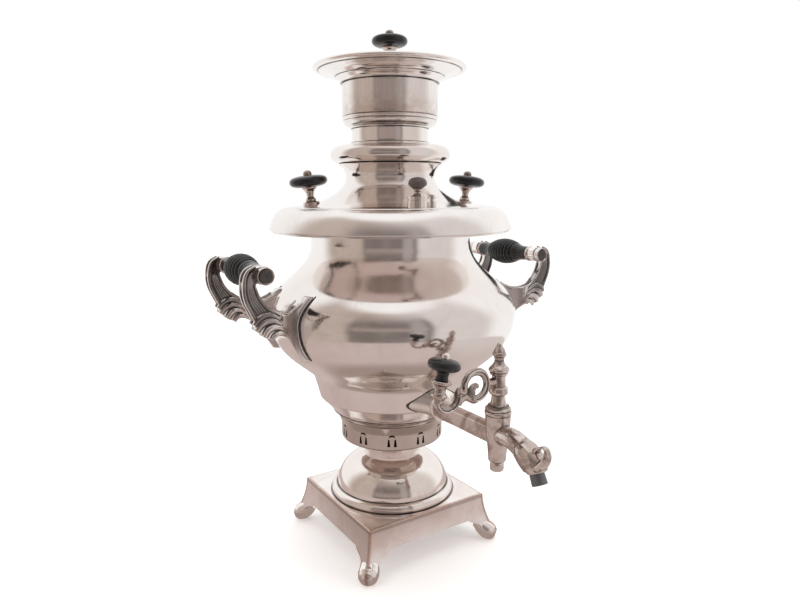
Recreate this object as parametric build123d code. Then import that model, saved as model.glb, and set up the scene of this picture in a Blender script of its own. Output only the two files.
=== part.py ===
from build123d import *
import math
import os

# Charcoal samovar with a vase-shaped vessel. Millimetres, +Z up. The origin lies on the
# vessel's axis at floor level. The tap points along -Y and the two handles are at -X and +X.
# Outlines are lists of (radius, height) pieces, drawn up the outside of the wall.

# Sheet, fits and clearances
sheet = 1.4            # spun brass wall
fit_gap = 0.1          # between soldered or pressed pieces of one body
seat_gap = 0.2         # under a piece that only rests on its seat
lift_gap = 0.4         # around a piece that lifts out
turn_gap = 0.05        # between the tap plug and its housing

# Square base on four feet
base_half = 61.8
base_top = 44.4
base_sheet = 1.8
base_edge_round = 1.2
foot_half = 71.4       # half the square that the feet's corners make on the floor
apron_low = 23.4
window_half = 43.0
window_step = 2.2
toe_inner = 56.5
toe_bend = 13.0
toe_half_width = 8.7
toe_past_corner = 0.02515
toe_reach = foot_half * 2 ** 0.5 + toe_past_corner  # axis to the tip of a toe, along the diagonal
toe_pad = 4.5

# Pedestal
bell_foot_radius = 51.0
bell_foot_height = 7.5
foot_ring_width = 6.9
bell_neck_radius = 25.6
bell_neck_height = 80.0
pedestal_top_radius = 30.0
pedestal_top = 98.2

# Vent ring with its air holes
vent_radius = 47.5
vent_straight_top = 113.0
vent_round = 2.6
vent_hole_sets = 11
vent_hole_turn = 0.5   # degrees from the tap to the nearest set
slot_spread = 2.9
slot_low = 102.9
slot_high = 109.8
slot_low_width = 2.7
slot_high_width = 1.3
arch_low = 111.4
arch_rise = 2.6
arch_half_width = 2.8

# Vessel; the heel's rise is above the bottom, and the hip's above the heel
body_bottom = 127.4
heel_radius = 55.4
heel_top_radius = 67.3
heel_rise = 13.6
hip_radius = 71.7
hip_rise = 16.5
heel_top = body_bottom + heel_rise
hip_height = heel_top + hip_rise
belly_radius = 113.4
belly_height = 219.5
neck_radius = 72.0
neck_height = 281.0
neck_straight = 10.0
body_top = neck_height + neck_straight

# Fire tube and grate
tube_bottom_radius = 41.0
tube_top_radius = 29.2
tube_taper_top = 240.0
tube_above_lid = 11.5
tube_wall = 1.5
grate_ledge = 4.0
grate_thickness = 4.0
grate_slot = 4.5
grate_bar = 4.0

# Overhanging ring at the mouth; its rises are above the vessel's top
rim_radius = 108.3
rim_crest_radius = 91.0
rim_crest_rise = 21.3
rim_low_radius = 106.8
seat_rise = 18.6
lid_seat_inner = 76.0
rim_crest = body_top + rim_crest_rise
lid_seat = body_top + seat_rise

# Lid; its rises are above its seat
lid_radius = 88.2
brim_rise = 2.1
lid_waist_radius = 38.0
waist_rise = 29.0
lid_top_radius = 45.4
lid_top_rise = 40.8
skirt_radius = 69.9
skirt_drop = 10.6
lid_brim = lid_seat + brim_rise
lid_waist = lid_seat + waist_rise
lid_top = lid_seat + lid_top_rise
skirt_low = lid_seat - skirt_drop
collar_radius = 52.9
collar_height = 15.6
collar_lip = 3.0
collar_mid_share = 0.44   # height of the widest line, as a share of the collar

# Knobs on turned stems, for the lid and the damper
knob_radius = 16.4
knob_height = 10.8
knob_hole = 2.6
stem_height = 16.0
stem_base_radius = 7.2
stem_base_height = 3.6
stem_waist_radius = 3.0
stem_cup_radius = 6.6
nut_radius = 3.7
nut_height = 3.8
lid_knob_place = 71.3
lid_knob_turn = -16.4
lid_knob_lean = 6.5
damper_knob_scale = 0.95

# Steam vent
vent_place = 70.0
vent_turn = -14.3      # degrees from the tap direction
vent_seat_radius = 8.0
vent_seat_height = 6.0
vent_bore = 4.0
vent_cap_thick = 1.8
vent_pin_radius = 1.5
vent_pin_distance = 12.4
vent_ear_radius = 3.4
vent_head_radius = 7.7
vent_head_height = 10.0
vent_stem_height = 5.6

# Teapot crown
crown_neck_radius = 33.6
crown_neck_height = 13.8
crown_foot_radius = 35.0
crown_foot_height = 2.4
crown_radius = 41.9
crown_round_height = 10.6
crown_straight_height = 27.6
flange_radius = 66.9
flange_groove_radius = 62.4
flange_groove_rise = 10.4
flange_rise = 14.7
damper_seat_radius = 45.2
smoke_hole_radius = 39.0
flue_hole_radius = 24.0

# Tap
tap_axis = 149.0       # distance of the plug's axis from the vessel's axis
pipe_rise = 3.4          # from the heel's top to the pipe's axis
pipe_height = heel_top + pipe_rise
pipe_half_width = 4.6
pipe_half_tall = 8.0
pipe_chamfer = 2.4
pipe_bore = 3.0
tenon_radius = 5.4
escutcheon_half = 25.0
escutcheon_half_tall = 13.5
escutcheon_depth = 18.0
collar_ring_half = 9.4
collar_ring_tall = 11.6
collar_ring_thick = 4.0
collar_ring_reach = 7.4  # from the vessel's side to the ring
housing_drop = 19.8      # from the pipe's axis down to the housing's foot
housing_rise = 17.6
housing_low_radius = 6.7
housing_high_radius = 9.7
housing_bead = 2.8
plug_low_radius = 4.4
plug_high_radius = 6.2
spout_start = 167.4
spout_bend = 24.0
spout_turn = 64.0      # degrees that the spout bends down
spout_bore = 3.6
nozzle_radius = 5.7
nozzle_bore = 4.0
nozzle_length = 9.6
nozzle_tenon = 4.0
nozzle_tenon_radius = 4.9
crest_radius = 9.0
crest_thick = 4.2

# Tap key: plug, turned finial, scroll branch and its knob
key_flange_height = 3.4
key_cylinder_radius = 5.2
plug_nut_radius = 5.2
plug_nut_height = 7.4
branch_rise = 22.4       # from the key's flange up to the branch's line
branch_thick = 6.0
boss_tall = 7.4
ring_place = 22.4
ring_radius = 11.7
ring_band = 2.9
curl_radius = 4.6
curl_band = 2.2
hook_place = 47.6
hook_drop = 4.8          # below the branch's line
hook_radius = 10.5
hook_band = 3.1
key_seat_place = 56.2
key_seat_drop = 6.8
key_lean = 11.5
key_seat_foot = 3.6
key_seat_length = 16.0
key_stem_length = 6.6
key_screw = 1.5
key_knob_radius = 11.8
key_knob_height = 9.2

# Handles
grip_place = 140.4
grip_height = 265.0
grip_half = 34.0
grip_radius = 12.8
grip_end_radius = 6.6
grip_grooves = 9
grip_groove_pitch = 3.8
grip_groove_deep = 0.9
rod_radius = 3.0
ferrule_length = 4.4
ferrule_radius = 7.4
arm_thick = 7.6
arm_drop = 75.0        # from the grip's axis down to the lowest point of a bracket
arm_boss_radius = 7.0
cap_length = 6.0
cap_radius = 6.7
fan_start = 128.0      # the arm widens into its fan from here to the vessel
fan_outer = 41.0
fan_inner = 26.0


# ---------- outline helpers ----------

def bow(start, start_turn, start_pull, end, end_turn, end_pull):
    # a curve between two points; turns are travel directions in degrees, pulls are shares of the chord
    chord = math.dist(start, end)
    a, b = math.radians(start_turn), math.radians(end_turn)
    first = (start[0] + start_pull * chord * math.cos(a), start[1] + start_pull * chord * math.sin(a))
    last = (end[0] - end_pull * chord * math.cos(b), end[1] - end_pull * chord * math.sin(b))
    return [start, first, last, end]


def along(points):
    # straight pieces through the points
    return [[a, b] for a, b in zip(points[:-1], points[1:])]


def unit(a, b):
    length = math.dist(a, b)
    return ((b[0] - a[0]) / length, (b[1] - a[1]) / length)


def inset(outline, wall):
    # the same outline moved by the wall to the left of its travel, with its two ends kept level
    starts = [unit(piece[0], piece[1]) for piece in outline]
    ends = [unit(piece[-2], piece[-1]) for piece in outline]
    shifts = [level_shift(starts[0], wall)]
    for arriving, leaving in zip(ends[:-1], starts[1:]):
        normal = (-arriving[1] - leaving[1], arriving[0] + leaving[0])
        size = math.hypot(*normal)
        stretch = wall * 2 / size**2
        shifts.append((normal[0] * stretch, normal[1] * stretch))
    shifts.append(level_shift(ends[-1], wall))
    moved = []
    for piece, first, last in zip(outline, shifts[:-1], shifts[1:]):
        half = len(piece) // 2
        moved.append([shifted(p, first) for p in piece[:half]] + [shifted(p, last) for p in piece[half:]])
    return moved


def level_shift(travel, wall):
    if abs(travel[1]) < 0.35:
        return (-travel[1] * wall, travel[0] * wall)
    return (-wall / travel[1], 0)


def shifted(point, shift):
    return (point[0] + shift[0], point[1] + shift[1])


def back(outline):
    return [piece[::-1] for piece in outline[::-1]]


def face_of(outline):
    # a flat face in the XZ plane from a closed outline
    edges = []
    for piece in outline:
        points = [(x, 0, z) for x, z in piece]
        edges.append(Line(*points) if len(points) == 2 else Bezier(*points))
    return make_face(Wire(edges))


def closed(outline, *corners):
    # the outline joined back to its start through the corners
    tail = [outline[-1][-1], *corners, outline[0][0]]
    return outline + along([p for p, q in zip(tail, [None] + tail) if p != q])


def on_piece(piece, share):
    # the point at this share of a straight or curved piece
    last = len(piece) - 1
    weights = [math.comb(last, k) * (1 - share) ** (last - k) * share**k for k in range(last + 1)]
    return tuple(sum(w * p[axis] for w, p in zip(weights, piece)) for axis in (0, 1))


def reached(piece, passed):
    # the point of a piece where it passes a level that it crosses once
    low, high = 0.0, 1.0
    for _ in range(40):
        middle = (low + high) / 2
        low, high = (low, middle) if passed(on_piece(piece, middle)) else (middle, high)
    return on_piece(piece, high)


def spun(outline):
    return revolve(face_of(outline), axis=Axis.Z)


def shell(outline, wall=sheet):
    inner = back(inset(outline, wall))
    joined = outline + along([outline[-1][-1], inner[0][0]]) + inner
    return spun(joined + along([inner[-1][-1], outline[0][0]]))


def filled(outline):
    # everything between an outline and the axis
    return spun(closed(outline, (0, outline[-1][-1][1]), (0, outline[0][0][1])))


def turned(*points):
    # a turned solid whose outline runs up through the points, with level ends
    return filled(along(list(points)))


def post(radius, low, high):
    return Pos(0, 0, low) * Cylinder(radius, high - low, align=(Align.CENTER, Align.CENTER, Align.MIN))


def tube(outer, inner, low, high):
    return post(outer, low, high) - post(inner, low - 1, high + 1)


def plate(outline, low, high):
    # a closed XZ outline with its thickness from low to high along Y
    return Pos(0, low, 0) * extrude(face_of(outline), amount=high - low, dir=(0, 1, 0))


def around(radius, azimuth):
    # a point at this azimuth from the tap direction, turning towards +X
    a = math.radians(azimuth)
    return radius * math.sin(a), -radius * math.cos(a)


# ---------- outlines of the spun shells ----------

def body_outline():
    heel = bow((heel_radius, body_bottom), 55.8, 0.47, (heel_top_radius, heel_top), 78, 0.05)
    hip = bow(heel[-1], 78, 0.3, (hip_radius, hip_height), 74, 0.3)
    belly = bow(hip[-1], 86, 0.18, (belly_radius, belly_height), 90, 0.512)
    shoulder = bow(belly[-1], 90, 0.326, (neck_radius, neck_height), 90, 0.359)
    return [heel, hip, belly, shoulder] + along([shoulder[-1], (neck_radius, body_top)])


def lid_outline():
    edge = lid_radius - lift_gap
    brim = [(edge, lid_seat + seat_gap), (edge, lid_brim)]
    flare = bow(brim[-1], 181.9, 0.357, (lid_waist_radius, lid_waist), 90, 0.27)
    top = bow(flare[-1], 90, 0.367, (lid_top_radius, lid_top), 30, 0.337)
    return [brim, flare, top]


def pedestal_outline():
    foot = [(bell_foot_radius, base_top), (bell_foot_radius, base_top + bell_foot_height)]
    bell = bow(foot[-1], 90, 0.02, (bell_neck_radius, bell_neck_height), 161, 0.735)
    neck = bow(bell[-1], 96, 0.3, (pedestal_top_radius, pedestal_top), 66, 0.3)
    return [foot, bell, neck]


# ---------- square base ----------

def base_block(inward, low):
    # square block whose four sides sweep out towards the floor
    top, half, reach = base_top - inward, base_half - inward, foot_half - inward
    side = bow((reach, 0), 97, 0.3, (half, top), 91, 0.45)
    mirrored = [[(-x, z) for x, z in piece] for piece in back([side])]
    section = [side] + along([side[-1], mirrored[0][0]]) + mirrored
    section += along([mirrored[-1][-1], (-reach, low), (reach, low), side[0]] if low else [(-reach, 0), (reach, 0)])
    bar = plate(section, -foot_half - 1, foot_half + 1)
    return bar & (Rot(0, 0, 90) * bar)


def base_window():
    # the opening between two feet, seen square on
    step = along([(0, apron_low), (window_half, apron_low), (window_half + window_step, apron_low - window_step)])
    leg = bow(step[-1][-1], -25, 0.35, (toe_inner, toe_bend), -88, 0.35)
    half = closed(step + [leg], (toe_inner, -1), (0, -1))
    right = plate(half, -2 * foot_half, 2 * foot_half)
    return right + mirror(right, about=Plane.YZ)


def tongue(low, high):
    # the rounded plan of one toe, along +X
    centre = toe_reach - toe_half_width
    bar = Pos(centre / 2, 0, low) * Box(centre, 2 * toe_half_width, high - low,
                                        align=(Align.CENTER, Align.CENTER, Align.MIN))
    return bar + Pos(centre, 0, 0) * post(toe_half_width, low, high)


def base_tray():
    outer = base_block(0, 0)
    outer = fillet(outer.edges().filter_by(lambda e: e.bounding_box().min.Z > base_top - 0.01), base_edge_round)
    tray = outer - base_block(base_sheet, -1) - base_window() - Rot(0, 0, 90) * base_window()
    for corner in range(4):
        turn = Rot(0, 0, 45 + 90 * corner)
        spare = turn * (Pos(toe_reach, 0, -1) * Box(2 * toe_half_width + 22, 4 * toe_half_width, toe_bend,
                                                    align=(Align.CENTER, Align.CENTER, Align.MIN)))
        tray -= spare - turn * tongue(-1, toe_bend)
        tray += outer & turn * (tongue(0, toe_pad) - post(toe_reach - 2.2 * toe_half_width, -1, toe_pad + 1))
    return tray


# ---------- pedestal and vent ring ----------

def foot_ring():
    inner, outer = bell_foot_radius + fit_gap, bell_foot_radius + foot_ring_width
    top = base_top + bell_foot_height
    crown = bow((outer, base_top + 1.9), 90, 0.4, (inner + 0.6, top), 176, 0.45)
    return spun(closed(along([(inner, base_top), (outer, base_top), crown[0]]) + [crown], (inner, top)))


def vent_ring():
    bottom = bow((vent_radius - vent_round, pedestal_top), 20, 0.4, (vent_radius, pedestal_top + vent_round), 90, 0.4)
    wall = along([bottom[-1], (vent_radius, vent_straight_top)])
    flare = bow(wall[-1][-1], 90, 0.02, (heel_radius - 0.1, body_bottom - 1.3), 27, 0.213)
    lip = along([flare[-1], (heel_radius - 0.1, body_bottom)])
    ring = shell([bottom] + wall + [flare] + lip)
    ring += post(vent_radius - vent_round + 0.5, pedestal_top, pedestal_top + sheet)
    return ring - air_holes()


def air_holes():
    slot = [(-slot_high_width / 2, slot_high), (-slot_low_width / 2, slot_low),
            (slot_low_width / 2, slot_low), (slot_high_width / 2, slot_high)]
    slot_bar = plate(along(slot + slot[:1]), -vent_radius - 3, -vent_radius + 6)
    low, high = (arch_half_width, arch_low), (0, arch_low + arch_rise)
    half = bow(low, 80, 0.3, high, 180, 0.35)
    under = bow((0, arch_low + 0.9), 0, 0.3, low, -20, 0.3)
    left = [[(-x, z) for x, z in piece] for piece in (under[::-1], half[::-1])]
    arch_bar = plate([under, half, left[1], left[0]], -vent_radius - 3, -vent_radius + 6)
    holes = Pos(-slot_spread, 0, 0) * slot_bar + Pos(slot_spread, 0, 0) * slot_bar + arch_bar
    step = 360 / vent_hole_sets
    return Part() + [Rot(0, 0, vent_hole_turn + step * n) * holes for n in range(vent_hole_sets)]


# ---------- vessel, fire tube and mouth ----------

def tube_bottom():
    return body_bottom + sheet


def body_heel():
    # the vessel's lowest band, with the ring that carries the fire tube
    floor_ring = tube(heel_radius - sheet, tube_bottom_radius - tube_wall - grate_ledge, body_bottom, tube_bottom())
    return shell(body_outline()[:2]) + floor_ring - tap_hole()


def body_belly():
    return shell(body_outline()[2:3]) - tap_hole()


def body_shoulder():
    return shell(body_outline()[3:])


def side_radius(height):
    # radius of the vessel's outside at this height
    piece = [p for p in body_outline() if p[0][1] <= height][-1]
    return reached(piece, lambda point: point[1] > height)[0]


def tap_hole():
    return Pos(0, -tap_axis / 2, pipe_height) * Rot(90, 0, 0) * Cylinder(tenon_radius + fit_gap, tap_axis / 2)


def fire_tube():
    cone = bow((tube_bottom_radius, tube_bottom()), 90, 0.3, (tube_top_radius, tube_taper_top), 90, 0.4)
    top = lid_top + collar_height + tube_above_lid
    return shell([cone] + along([cone[-1], (tube_top_radius, top)]), tube_wall)


def grate():
    radius = tube_bottom_radius - tube_wall - lift_gap
    disc = post(radius, tube_bottom(), tube_bottom() + grate_thickness)
    pitch = grate_slot + grate_bar
    count = int((radius - grate_bar) / pitch)
    for n in range(-count, count + 1):
        reach = math.sqrt(max((radius - grate_bar) ** 2 - (abs(n) * pitch + grate_slot / 2) ** 2, 0))
        if reach > grate_slot:
            disc -= Pos(n * pitch, 0, tube_bottom()) * Box(grate_slot, 2 * reach, 3 * grate_thickness)
    return disc


def drip_plate():
    return tube(rim_low_radius - 0.4, neck_radius - sheet, body_top, body_top + sheet)


def drip_ring():
    low = body_top + sheet
    curl = bow((rim_low_radius, low), 30, 0.4, (rim_radius, low + 1.2), 96, 0.4)
    rim = bow(curl[-1], 104, 0.34, (rim_crest_radius, rim_crest), 180, 0.36)
    lip = along([rim[-1], (lid_radius, lid_brim - 0.4), (lid_radius, lid_seat),
                 (lid_seat_inner, lid_seat), (lid_seat_inner, low)])
    return shell([curl, rim] + lip)


# ---------- lid ----------

def lid_skirt():
    wall = tube(skirt_radius, skirt_radius - sheet, skirt_low, lid_waist)
    return wall & (filled(inset(lid_outline(), sheet + fit_gap / 4)) + post(lid_seat_inner, skirt_low, lid_brim - sheet))


def lid_collar():
    low, high = lid_top + 0.1, lid_top + collar_height
    widest = (collar_radius, low + collar_mid_share * collar_height)
    under = bow((lid_top_radius, low), 20, 0.35, widest, 90, 0.42)
    over = bow(widest, 90, 0.42, (lid_top_radius - 1.6, high - 0.3), 172, 0.4)
    return shell([under, over] + along([over[-1], (tube_top_radius + collar_lip, high)]))


def lid_sleeve():
    inner = tube_top_radius + lift_gap + 0.4
    return tube(tube_top_radius + collar_lip - fit_gap, inner, lid_waist - 8, lid_top + collar_height)


def knob_stem(extra=0.0):
    # turned stem with a cup under the knob; it stands on its base at height 0
    return turned((stem_base_radius, -extra), (stem_base_radius, stem_base_height - 0.6),
                  (stem_base_radius - 0.7, stem_base_height), (4.2, stem_base_height),
                  (4.9, stem_base_height + 1.3), (4.2, stem_base_height + 2.6),
                  (stem_waist_radius + 0.3, stem_base_height + 3.6),
                  (stem_waist_radius, stem_height - 6.4), (stem_waist_radius + 0.9, stem_height - 4.0),
                  (stem_cup_radius - 0.8, stem_height - 1.8), (stem_cup_radius, stem_height - 0.9),
                  (stem_cup_radius, stem_height)) + post(knob_hole - fit_gap, stem_height, stem_height + knob_height)


def knob(radius=knob_radius, height=knob_height, hole=knob_hole, low=stem_height):
    widest = (radius, low + 0.46 * height)
    under = bow((0.42 * radius, low), 5, 0.4, widest, 90, 0.36)
    over = bow(widest, 90, 0.36, (0.26 * radius, low + height), 176, 0.42)
    return filled([under, over]) - post(hole, low - 1, low + height + 1)


def dome_nut(radius=nut_radius, height=nut_height, low=stem_height + knob_height):
    rim = (radius, low + 0.28 * height)
    dome = bow(rim, 90, 0.35, (0.3, low + height), 180, 0.4)
    return filled(along([(radius, low), rim]) + [dome])


def lid_surface(radius):
    # height of the lid's outside at this radius, found on its flare
    return reached(lid_outline()[1], lambda point: point[0] < radius)[1]


def on_lid(side):
    # place of a lid knob: side -1 is the left one, +1 the right one
    x, y = lid_knob_place * math.cos(math.radians(lid_knob_turn)), lid_knob_place * math.sin(math.radians(lid_knob_turn))
    return Pos(side * x, side * y, lid_surface(lid_knob_place)) * Rot(0, 0, lid_knob_turn) * Rot(0, side * lid_knob_lean, 0)


def lid_solid():
    return filled(inset(lid_outline(), -fit_gap)) + post(lid_radius, skirt_low, lid_brim)


# ---------- steam vent on the lid ----------

def at_vent():
    x, y = around(vent_place, vent_turn)
    return Pos(x, y, lid_surface(vent_place)) * Rot(0, 0, vent_turn)


def vent_seat():
    depth = 4.0
    cup = post(vent_seat_radius, -depth, vent_seat_height - 1.2) + post(vent_seat_radius - 0.8, -depth, vent_seat_height)
    lug = Pos(vent_pin_distance, 0, 0) * post(vent_ear_radius, -depth, vent_seat_height - 2.2)
    web = Pos(vent_pin_distance / 2, 0, -depth) * Box(vent_pin_distance, 1.5 * vent_ear_radius, depth + vent_seat_height - 2.2,
                                                      align=(Align.CENTER, Align.CENTER, Align.MIN))
    lug = lug + web - Pos(vent_pin_distance, 0, 0) * post(vent_pin_radius + fit_gap, -depth - 1, vent_seat_height)
    return at_vent() * (cup + lug - post(vent_bore, -depth - 1, vent_seat_height + 1)) - lid_solid()


def vent_pin():
    top = vent_seat_height + seat_gap + vent_cap_thick + seat_gap
    pin = post(vent_pin_radius, 0, top) + post(vent_pin_radius + 1.1, top, top + 1.2)
    return at_vent() * (Pos(vent_pin_distance, 0, 0) * pin) - lid_solid()


def vent_cap():
    low = vent_seat_height + seat_gap
    disc = post(vent_seat_radius + 0.2, low, low + vent_cap_thick)
    ear = Pos(vent_pin_distance, 0, 0) * post(vent_ear_radius, low, low + vent_cap_thick)
    web = Pos(vent_pin_distance / 2, 0, low) * Box(vent_pin_distance, 1.4 * vent_ear_radius, vent_cap_thick,
                                                   align=(Align.CENTER, Align.CENTER, Align.MIN))
    hole = Pos(vent_pin_distance, 0, 0) * post(vent_pin_radius + turn_gap, low - 1, low + 4)
    top = low + vent_cap_thick
    stem = turned((5.6, top), (4.4, top + 0.8), (2.7, top + 2.4), (2.3, top + vent_stem_height - 1.4),
                  (3.4, top + vent_stem_height))
    return at_vent() * (disc + ear + web - hole + stem)


def vent_cap_knob():
    low = vent_seat_height + seat_gap + vent_cap_thick + vent_stem_height
    widest = (vent_head_radius, low + 0.52 * vent_head_height)
    under = bow((3.4, low), 30, 0.35, widest, 84, 0.35)
    over = bow(widest, 90, 0.4, (1.2, low + vent_head_height), 176, 0.42)
    return at_vent() * filled([under, over])


# ---------- teapot crown and damper ----------

def crown_low():
    return lid_top + collar_height + seat_gap


def crown_floor():
    return crown_low() + crown_neck_height


def crown_neck():
    low = crown_low()
    wall = tube(crown_neck_radius, crown_neck_radius - sheet, low, crown_floor())
    bead = tube(crown_foot_radius, crown_neck_radius - sheet, low, low + crown_foot_height)
    return wall + bead


def crown_cylinder():
    low = crown_floor()
    quarter = bow((crown_neck_radius + 0.6, low), 22, 0.4, (crown_radius, low + crown_round_height), 90, 0.5)
    wall = shell([quarter] + along([quarter[-1], (crown_radius, low + crown_round_height + crown_straight_height)]))
    return wall + tube(crown_neck_radius + 0.6, flue_hole_radius, low, low + sheet)


def flange_low():
    return crown_floor() + crown_round_height + crown_straight_height


def crown_flange():
    low, top = flange_low(), flange_low() + flange_rise
    groove = (flange_groove_radius, low + flange_groove_rise)
    moulding = bow((crown_radius + fit_gap, low), 52, 0.3, groove, 14, 0.4)
    bead_side = (flange_radius, low + flange_groove_rise + 2.2)
    bead = [bow(groove, 20, 0.35, bead_side, 80, 0.35), bow(bead_side, 96, 0.35, (flange_radius - 2.2, top), 172, 0.4)]
    shelf = along([bead[-1][-1], (damper_seat_radius, top), (damper_seat_radius, top - sheet - seat_gap),
                   (smoke_hole_radius, top - sheet - seat_gap)])
    return shell([moulding] + bead + shelf)


def damper_place():
    return Pos(0, 0, flange_low() + flange_rise)


def damper_disc():
    return damper_place() * post(damper_seat_radius - lift_gap, -sheet, 0)


# ---------- tap ----------

def on_tap(part):
    # a piece modelled about the plug's own axis, set out in front of the vessel
    return Pos(0, -tap_axis, 0) * part


def body_solid():
    return filled(inset(body_outline(), -fit_gap))


def collar_ring_place():
    return side_radius(pipe_height) + collar_ring_reach


def housing_low():
    return pipe_height - housing_drop


def housing_high():
    return pipe_height + housing_rise


def key_low():
    # underside of the key's flange, on the housing's rim
    return housing_high() + housing_bead + seat_gap


def branch_height():
    return key_low() + branch_rise


def facing_out(distance):
    # a plane across the tap pipe at this distance from the vessel's axis
    return Plane(origin=(0, -distance, pipe_height), x_dir=(1, 0, 0), z_dir=(0, -1, 0))


def tap_escutcheon():
    # trumpet flange against the vessel, ending in the ring that the pipe comes out of
    sections = []
    for depth, wide, tall in ((1.0, 1.3, 1.2), (0.72, 1.06, 1.1), (0.5, 0.74, 1.0), (0.25, 0.5, 0.92), (0, 0.37, 0.86)):
        across = facing_out(collar_ring_place() - depth * escutcheon_depth)
        sections.append(across * Ellipse(wide * escutcheon_half, tall * escutcheon_half_tall))
    flare = loft(sections)
    ring = extrude(facing_out(collar_ring_place()) * Ellipse(collar_ring_half, collar_ring_tall), amount=collar_ring_thick)
    return flare + ring - body_solid() - tap_hole()


def pipe_section():
    w, t, c = pipe_half_width, pipe_half_tall, pipe_chamfer
    corners = [(w - c, t), (w, t - c), (w, c - t), (w - c, -t), (c - w, -t), (-w, c - t), (-w, t - c), (c - w, t)]
    return Polygon(*corners, align=None)


def spout_path():
    # centre line of the spout in the plane X = 0, from the housing round to the nozzle
    start, corner = (0, -tap_axis, pipe_height + 2.2), (0, -spout_start, pipe_height + 2.2)
    turn = math.radians(spout_turn)
    end = (0, corner[1] - spout_bend * math.sin(turn), corner[2] - spout_bend * (1 - math.cos(turn)))
    down = (0, -math.cos(turn), -math.sin(turn))
    tip = tuple(e + nozzle_length * 0.2 * d for e, d in zip(end, down))
    middle = (0, corner[1] - spout_bend * math.sin(turn / 2), corner[2] - spout_bend * (1 - math.cos(turn / 2)))
    return Wire([Line(start, corner), ThreePointArc(corner, middle, end), Line(end, tip)]), Vector(tip), Vector(down)


def spout():
    path, tip, down = spout_path()
    halves = [(0.30, 7.6, 8.2), (0.42, 8.4, 9.0), (0.56, 9.6, 10.6), (0.72, 10.2, 11.6), (0.88, 9.2, 10.2), (1.0, 7.2, 7.8)]
    sections = []
    for share, half_wide, half_deep in halves:
        travel = path % share
        sections.append(Plane(origin=path @ share, x_dir=(1, 0, 0), z_dir=travel) * Ellipse(half_wide, half_deep))
    root = Plane(origin=path @ 0, x_dir=(1, 0, 0), z_dir=(0, -1, 0)) * Ellipse(7.0, 8.0)
    return loft([root] + sections)


def tap_body():
    pipe_root = collar_ring_place() + collar_ring_thick + fit_gap
    pipe = extrude(facing_out(pipe_root) * pipe_section(), amount=tap_axis - pipe_root, dir=(0, -1, 0))
    inside = neck_radius - sheet - 6
    tenon = Pos(0, -(pipe_root + inside) / 2, pipe_height) * Rot(90, 0, 0) * Cylinder(tenon_radius, pipe_root - inside + 1)
    rim = housing_high()
    rims = turned((housing_low_radius, housing_low()), (housing_high_radius, rim), (housing_high_radius + 0.4, rim + 0.3),
                  (housing_high_radius + 0.5, rim + housing_bead / 2), (housing_high_radius, rim + housing_bead))
    casting = pipe + tenon + on_tap(rims) + spout() + spout_crest()
    path, tip, down = spout_path()
    bore = sweep(Plane(origin=path @ 0, z_dir=(0, -1, 0)) * Circle(spout_bore), path=path)
    socket = Pos(*(tip - down * nozzle_tenon)) * nozzle_turn() * post(nozzle_tenon_radius + fit_gap, 0, nozzle_tenon + 9)
    inlet = Pos(0, -(tap_axis + inside) / 2, pipe_height) * Rot(90, 0, 0) * Cylinder(pipe_bore, tap_axis - inside + 2)
    return casting - on_tap(plug_cone(turn_gap, 1)) - bore - socket - inlet


def nozzle_turn():
    return Rot(90 + spout_turn, 0, 0)


def spout_crest():
    # the curled leaf tip on the front of the spout
    path, tip, down = spout_path()
    forward = Vector(0, down.Z, -down.Y)
    centre = tip + forward * 7.0 - down * 9.5
    disc = Pos(0, centre.Y, centre.Z) * Rot(0, 90, 0) * Cylinder(crest_radius, crest_thick)
    return fillet(disc.edges(), 1.2)


def tap_nozzle():
    path, tip, down = spout_path()
    body = turned((nozzle_radius - 0.3, 0), (nozzle_radius, 0.5), (nozzle_radius, nozzle_length))
    tenon = post(nozzle_tenon_radius, -nozzle_tenon + fit_gap, 0.5)
    return Pos(*(tip + down * fit_gap)) * nozzle_turn() * (body + tenon - post(nozzle_bore, -nozzle_tenon, nozzle_length + 1))


# ---------- tap key ----------

def plug_cone(gap, extra):
    # the tapered plug, or its bore when the gap is added
    rim = housing_high() + housing_bead
    slope = (plug_high_radius - plug_low_radius) / (rim - housing_low())
    low, high = housing_low() - extra, rim + extra
    return turned((plug_low_radius + gap - slope * extra, low), (plug_high_radius + gap + slope * extra, high))


def key_plug():
    top, seat = key_low(), branch_height() - boss_tall / 2 - fit_gap
    cone = plug_cone(0, seat_gap)
    low_end = housing_low() - seat_gap
    stub = post(plug_low_radius - 1.4, low_end - plug_nut_height + 2, low_end + 0.5)
    r = key_cylinder_radius
    flange = turned((housing_high_radius, top), (housing_high_radius + 0.1, top + 1.7), (8.2, top + key_flange_height - 0.9),
                    (8.1, top + key_flange_height), (7.6, top + 4.6), (6.0, top + 5.8), (5.4, top + 8.4), (4.9, seat - 7.0),
                    (6.2, seat - 6.3), (7.3, seat - 4.2), (7.3, seat - 2.8), (6.2, seat - 0.8), (r, seat), (r, finial_low()))
    cross = Pos(0, 0, pipe_height) * Rot(0, 90, 0) * Cylinder(pipe_bore, 4 * plug_high_radius)
    return on_tap(cone + stub + flange - cross)


def finial_low():
    return branch_height() + boss_tall / 2 + 9 * fit_gap


def key_finial():
    z = finial_low()
    body = turned((6.2, z), (7.0, z + 0.9), (7.0, z + 1.6), (6.4, z + 2.3), (7.8, z + 3.4), (7.8, z + 4.2), (6.4, z + 6.0),
                  (4.4, z + 8.4), (3.4, z + 10.8), (3.5, z + 12.0), (4.2, z + 13.6), (5.3, z + 15.4), (5.3, z + 16.2),
                  (4.4, z + 17.4), (2.9, z + 20.6), (1.9, z + 23.2), (0.8, z + 24.2))
    return on_tap(body)


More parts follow.
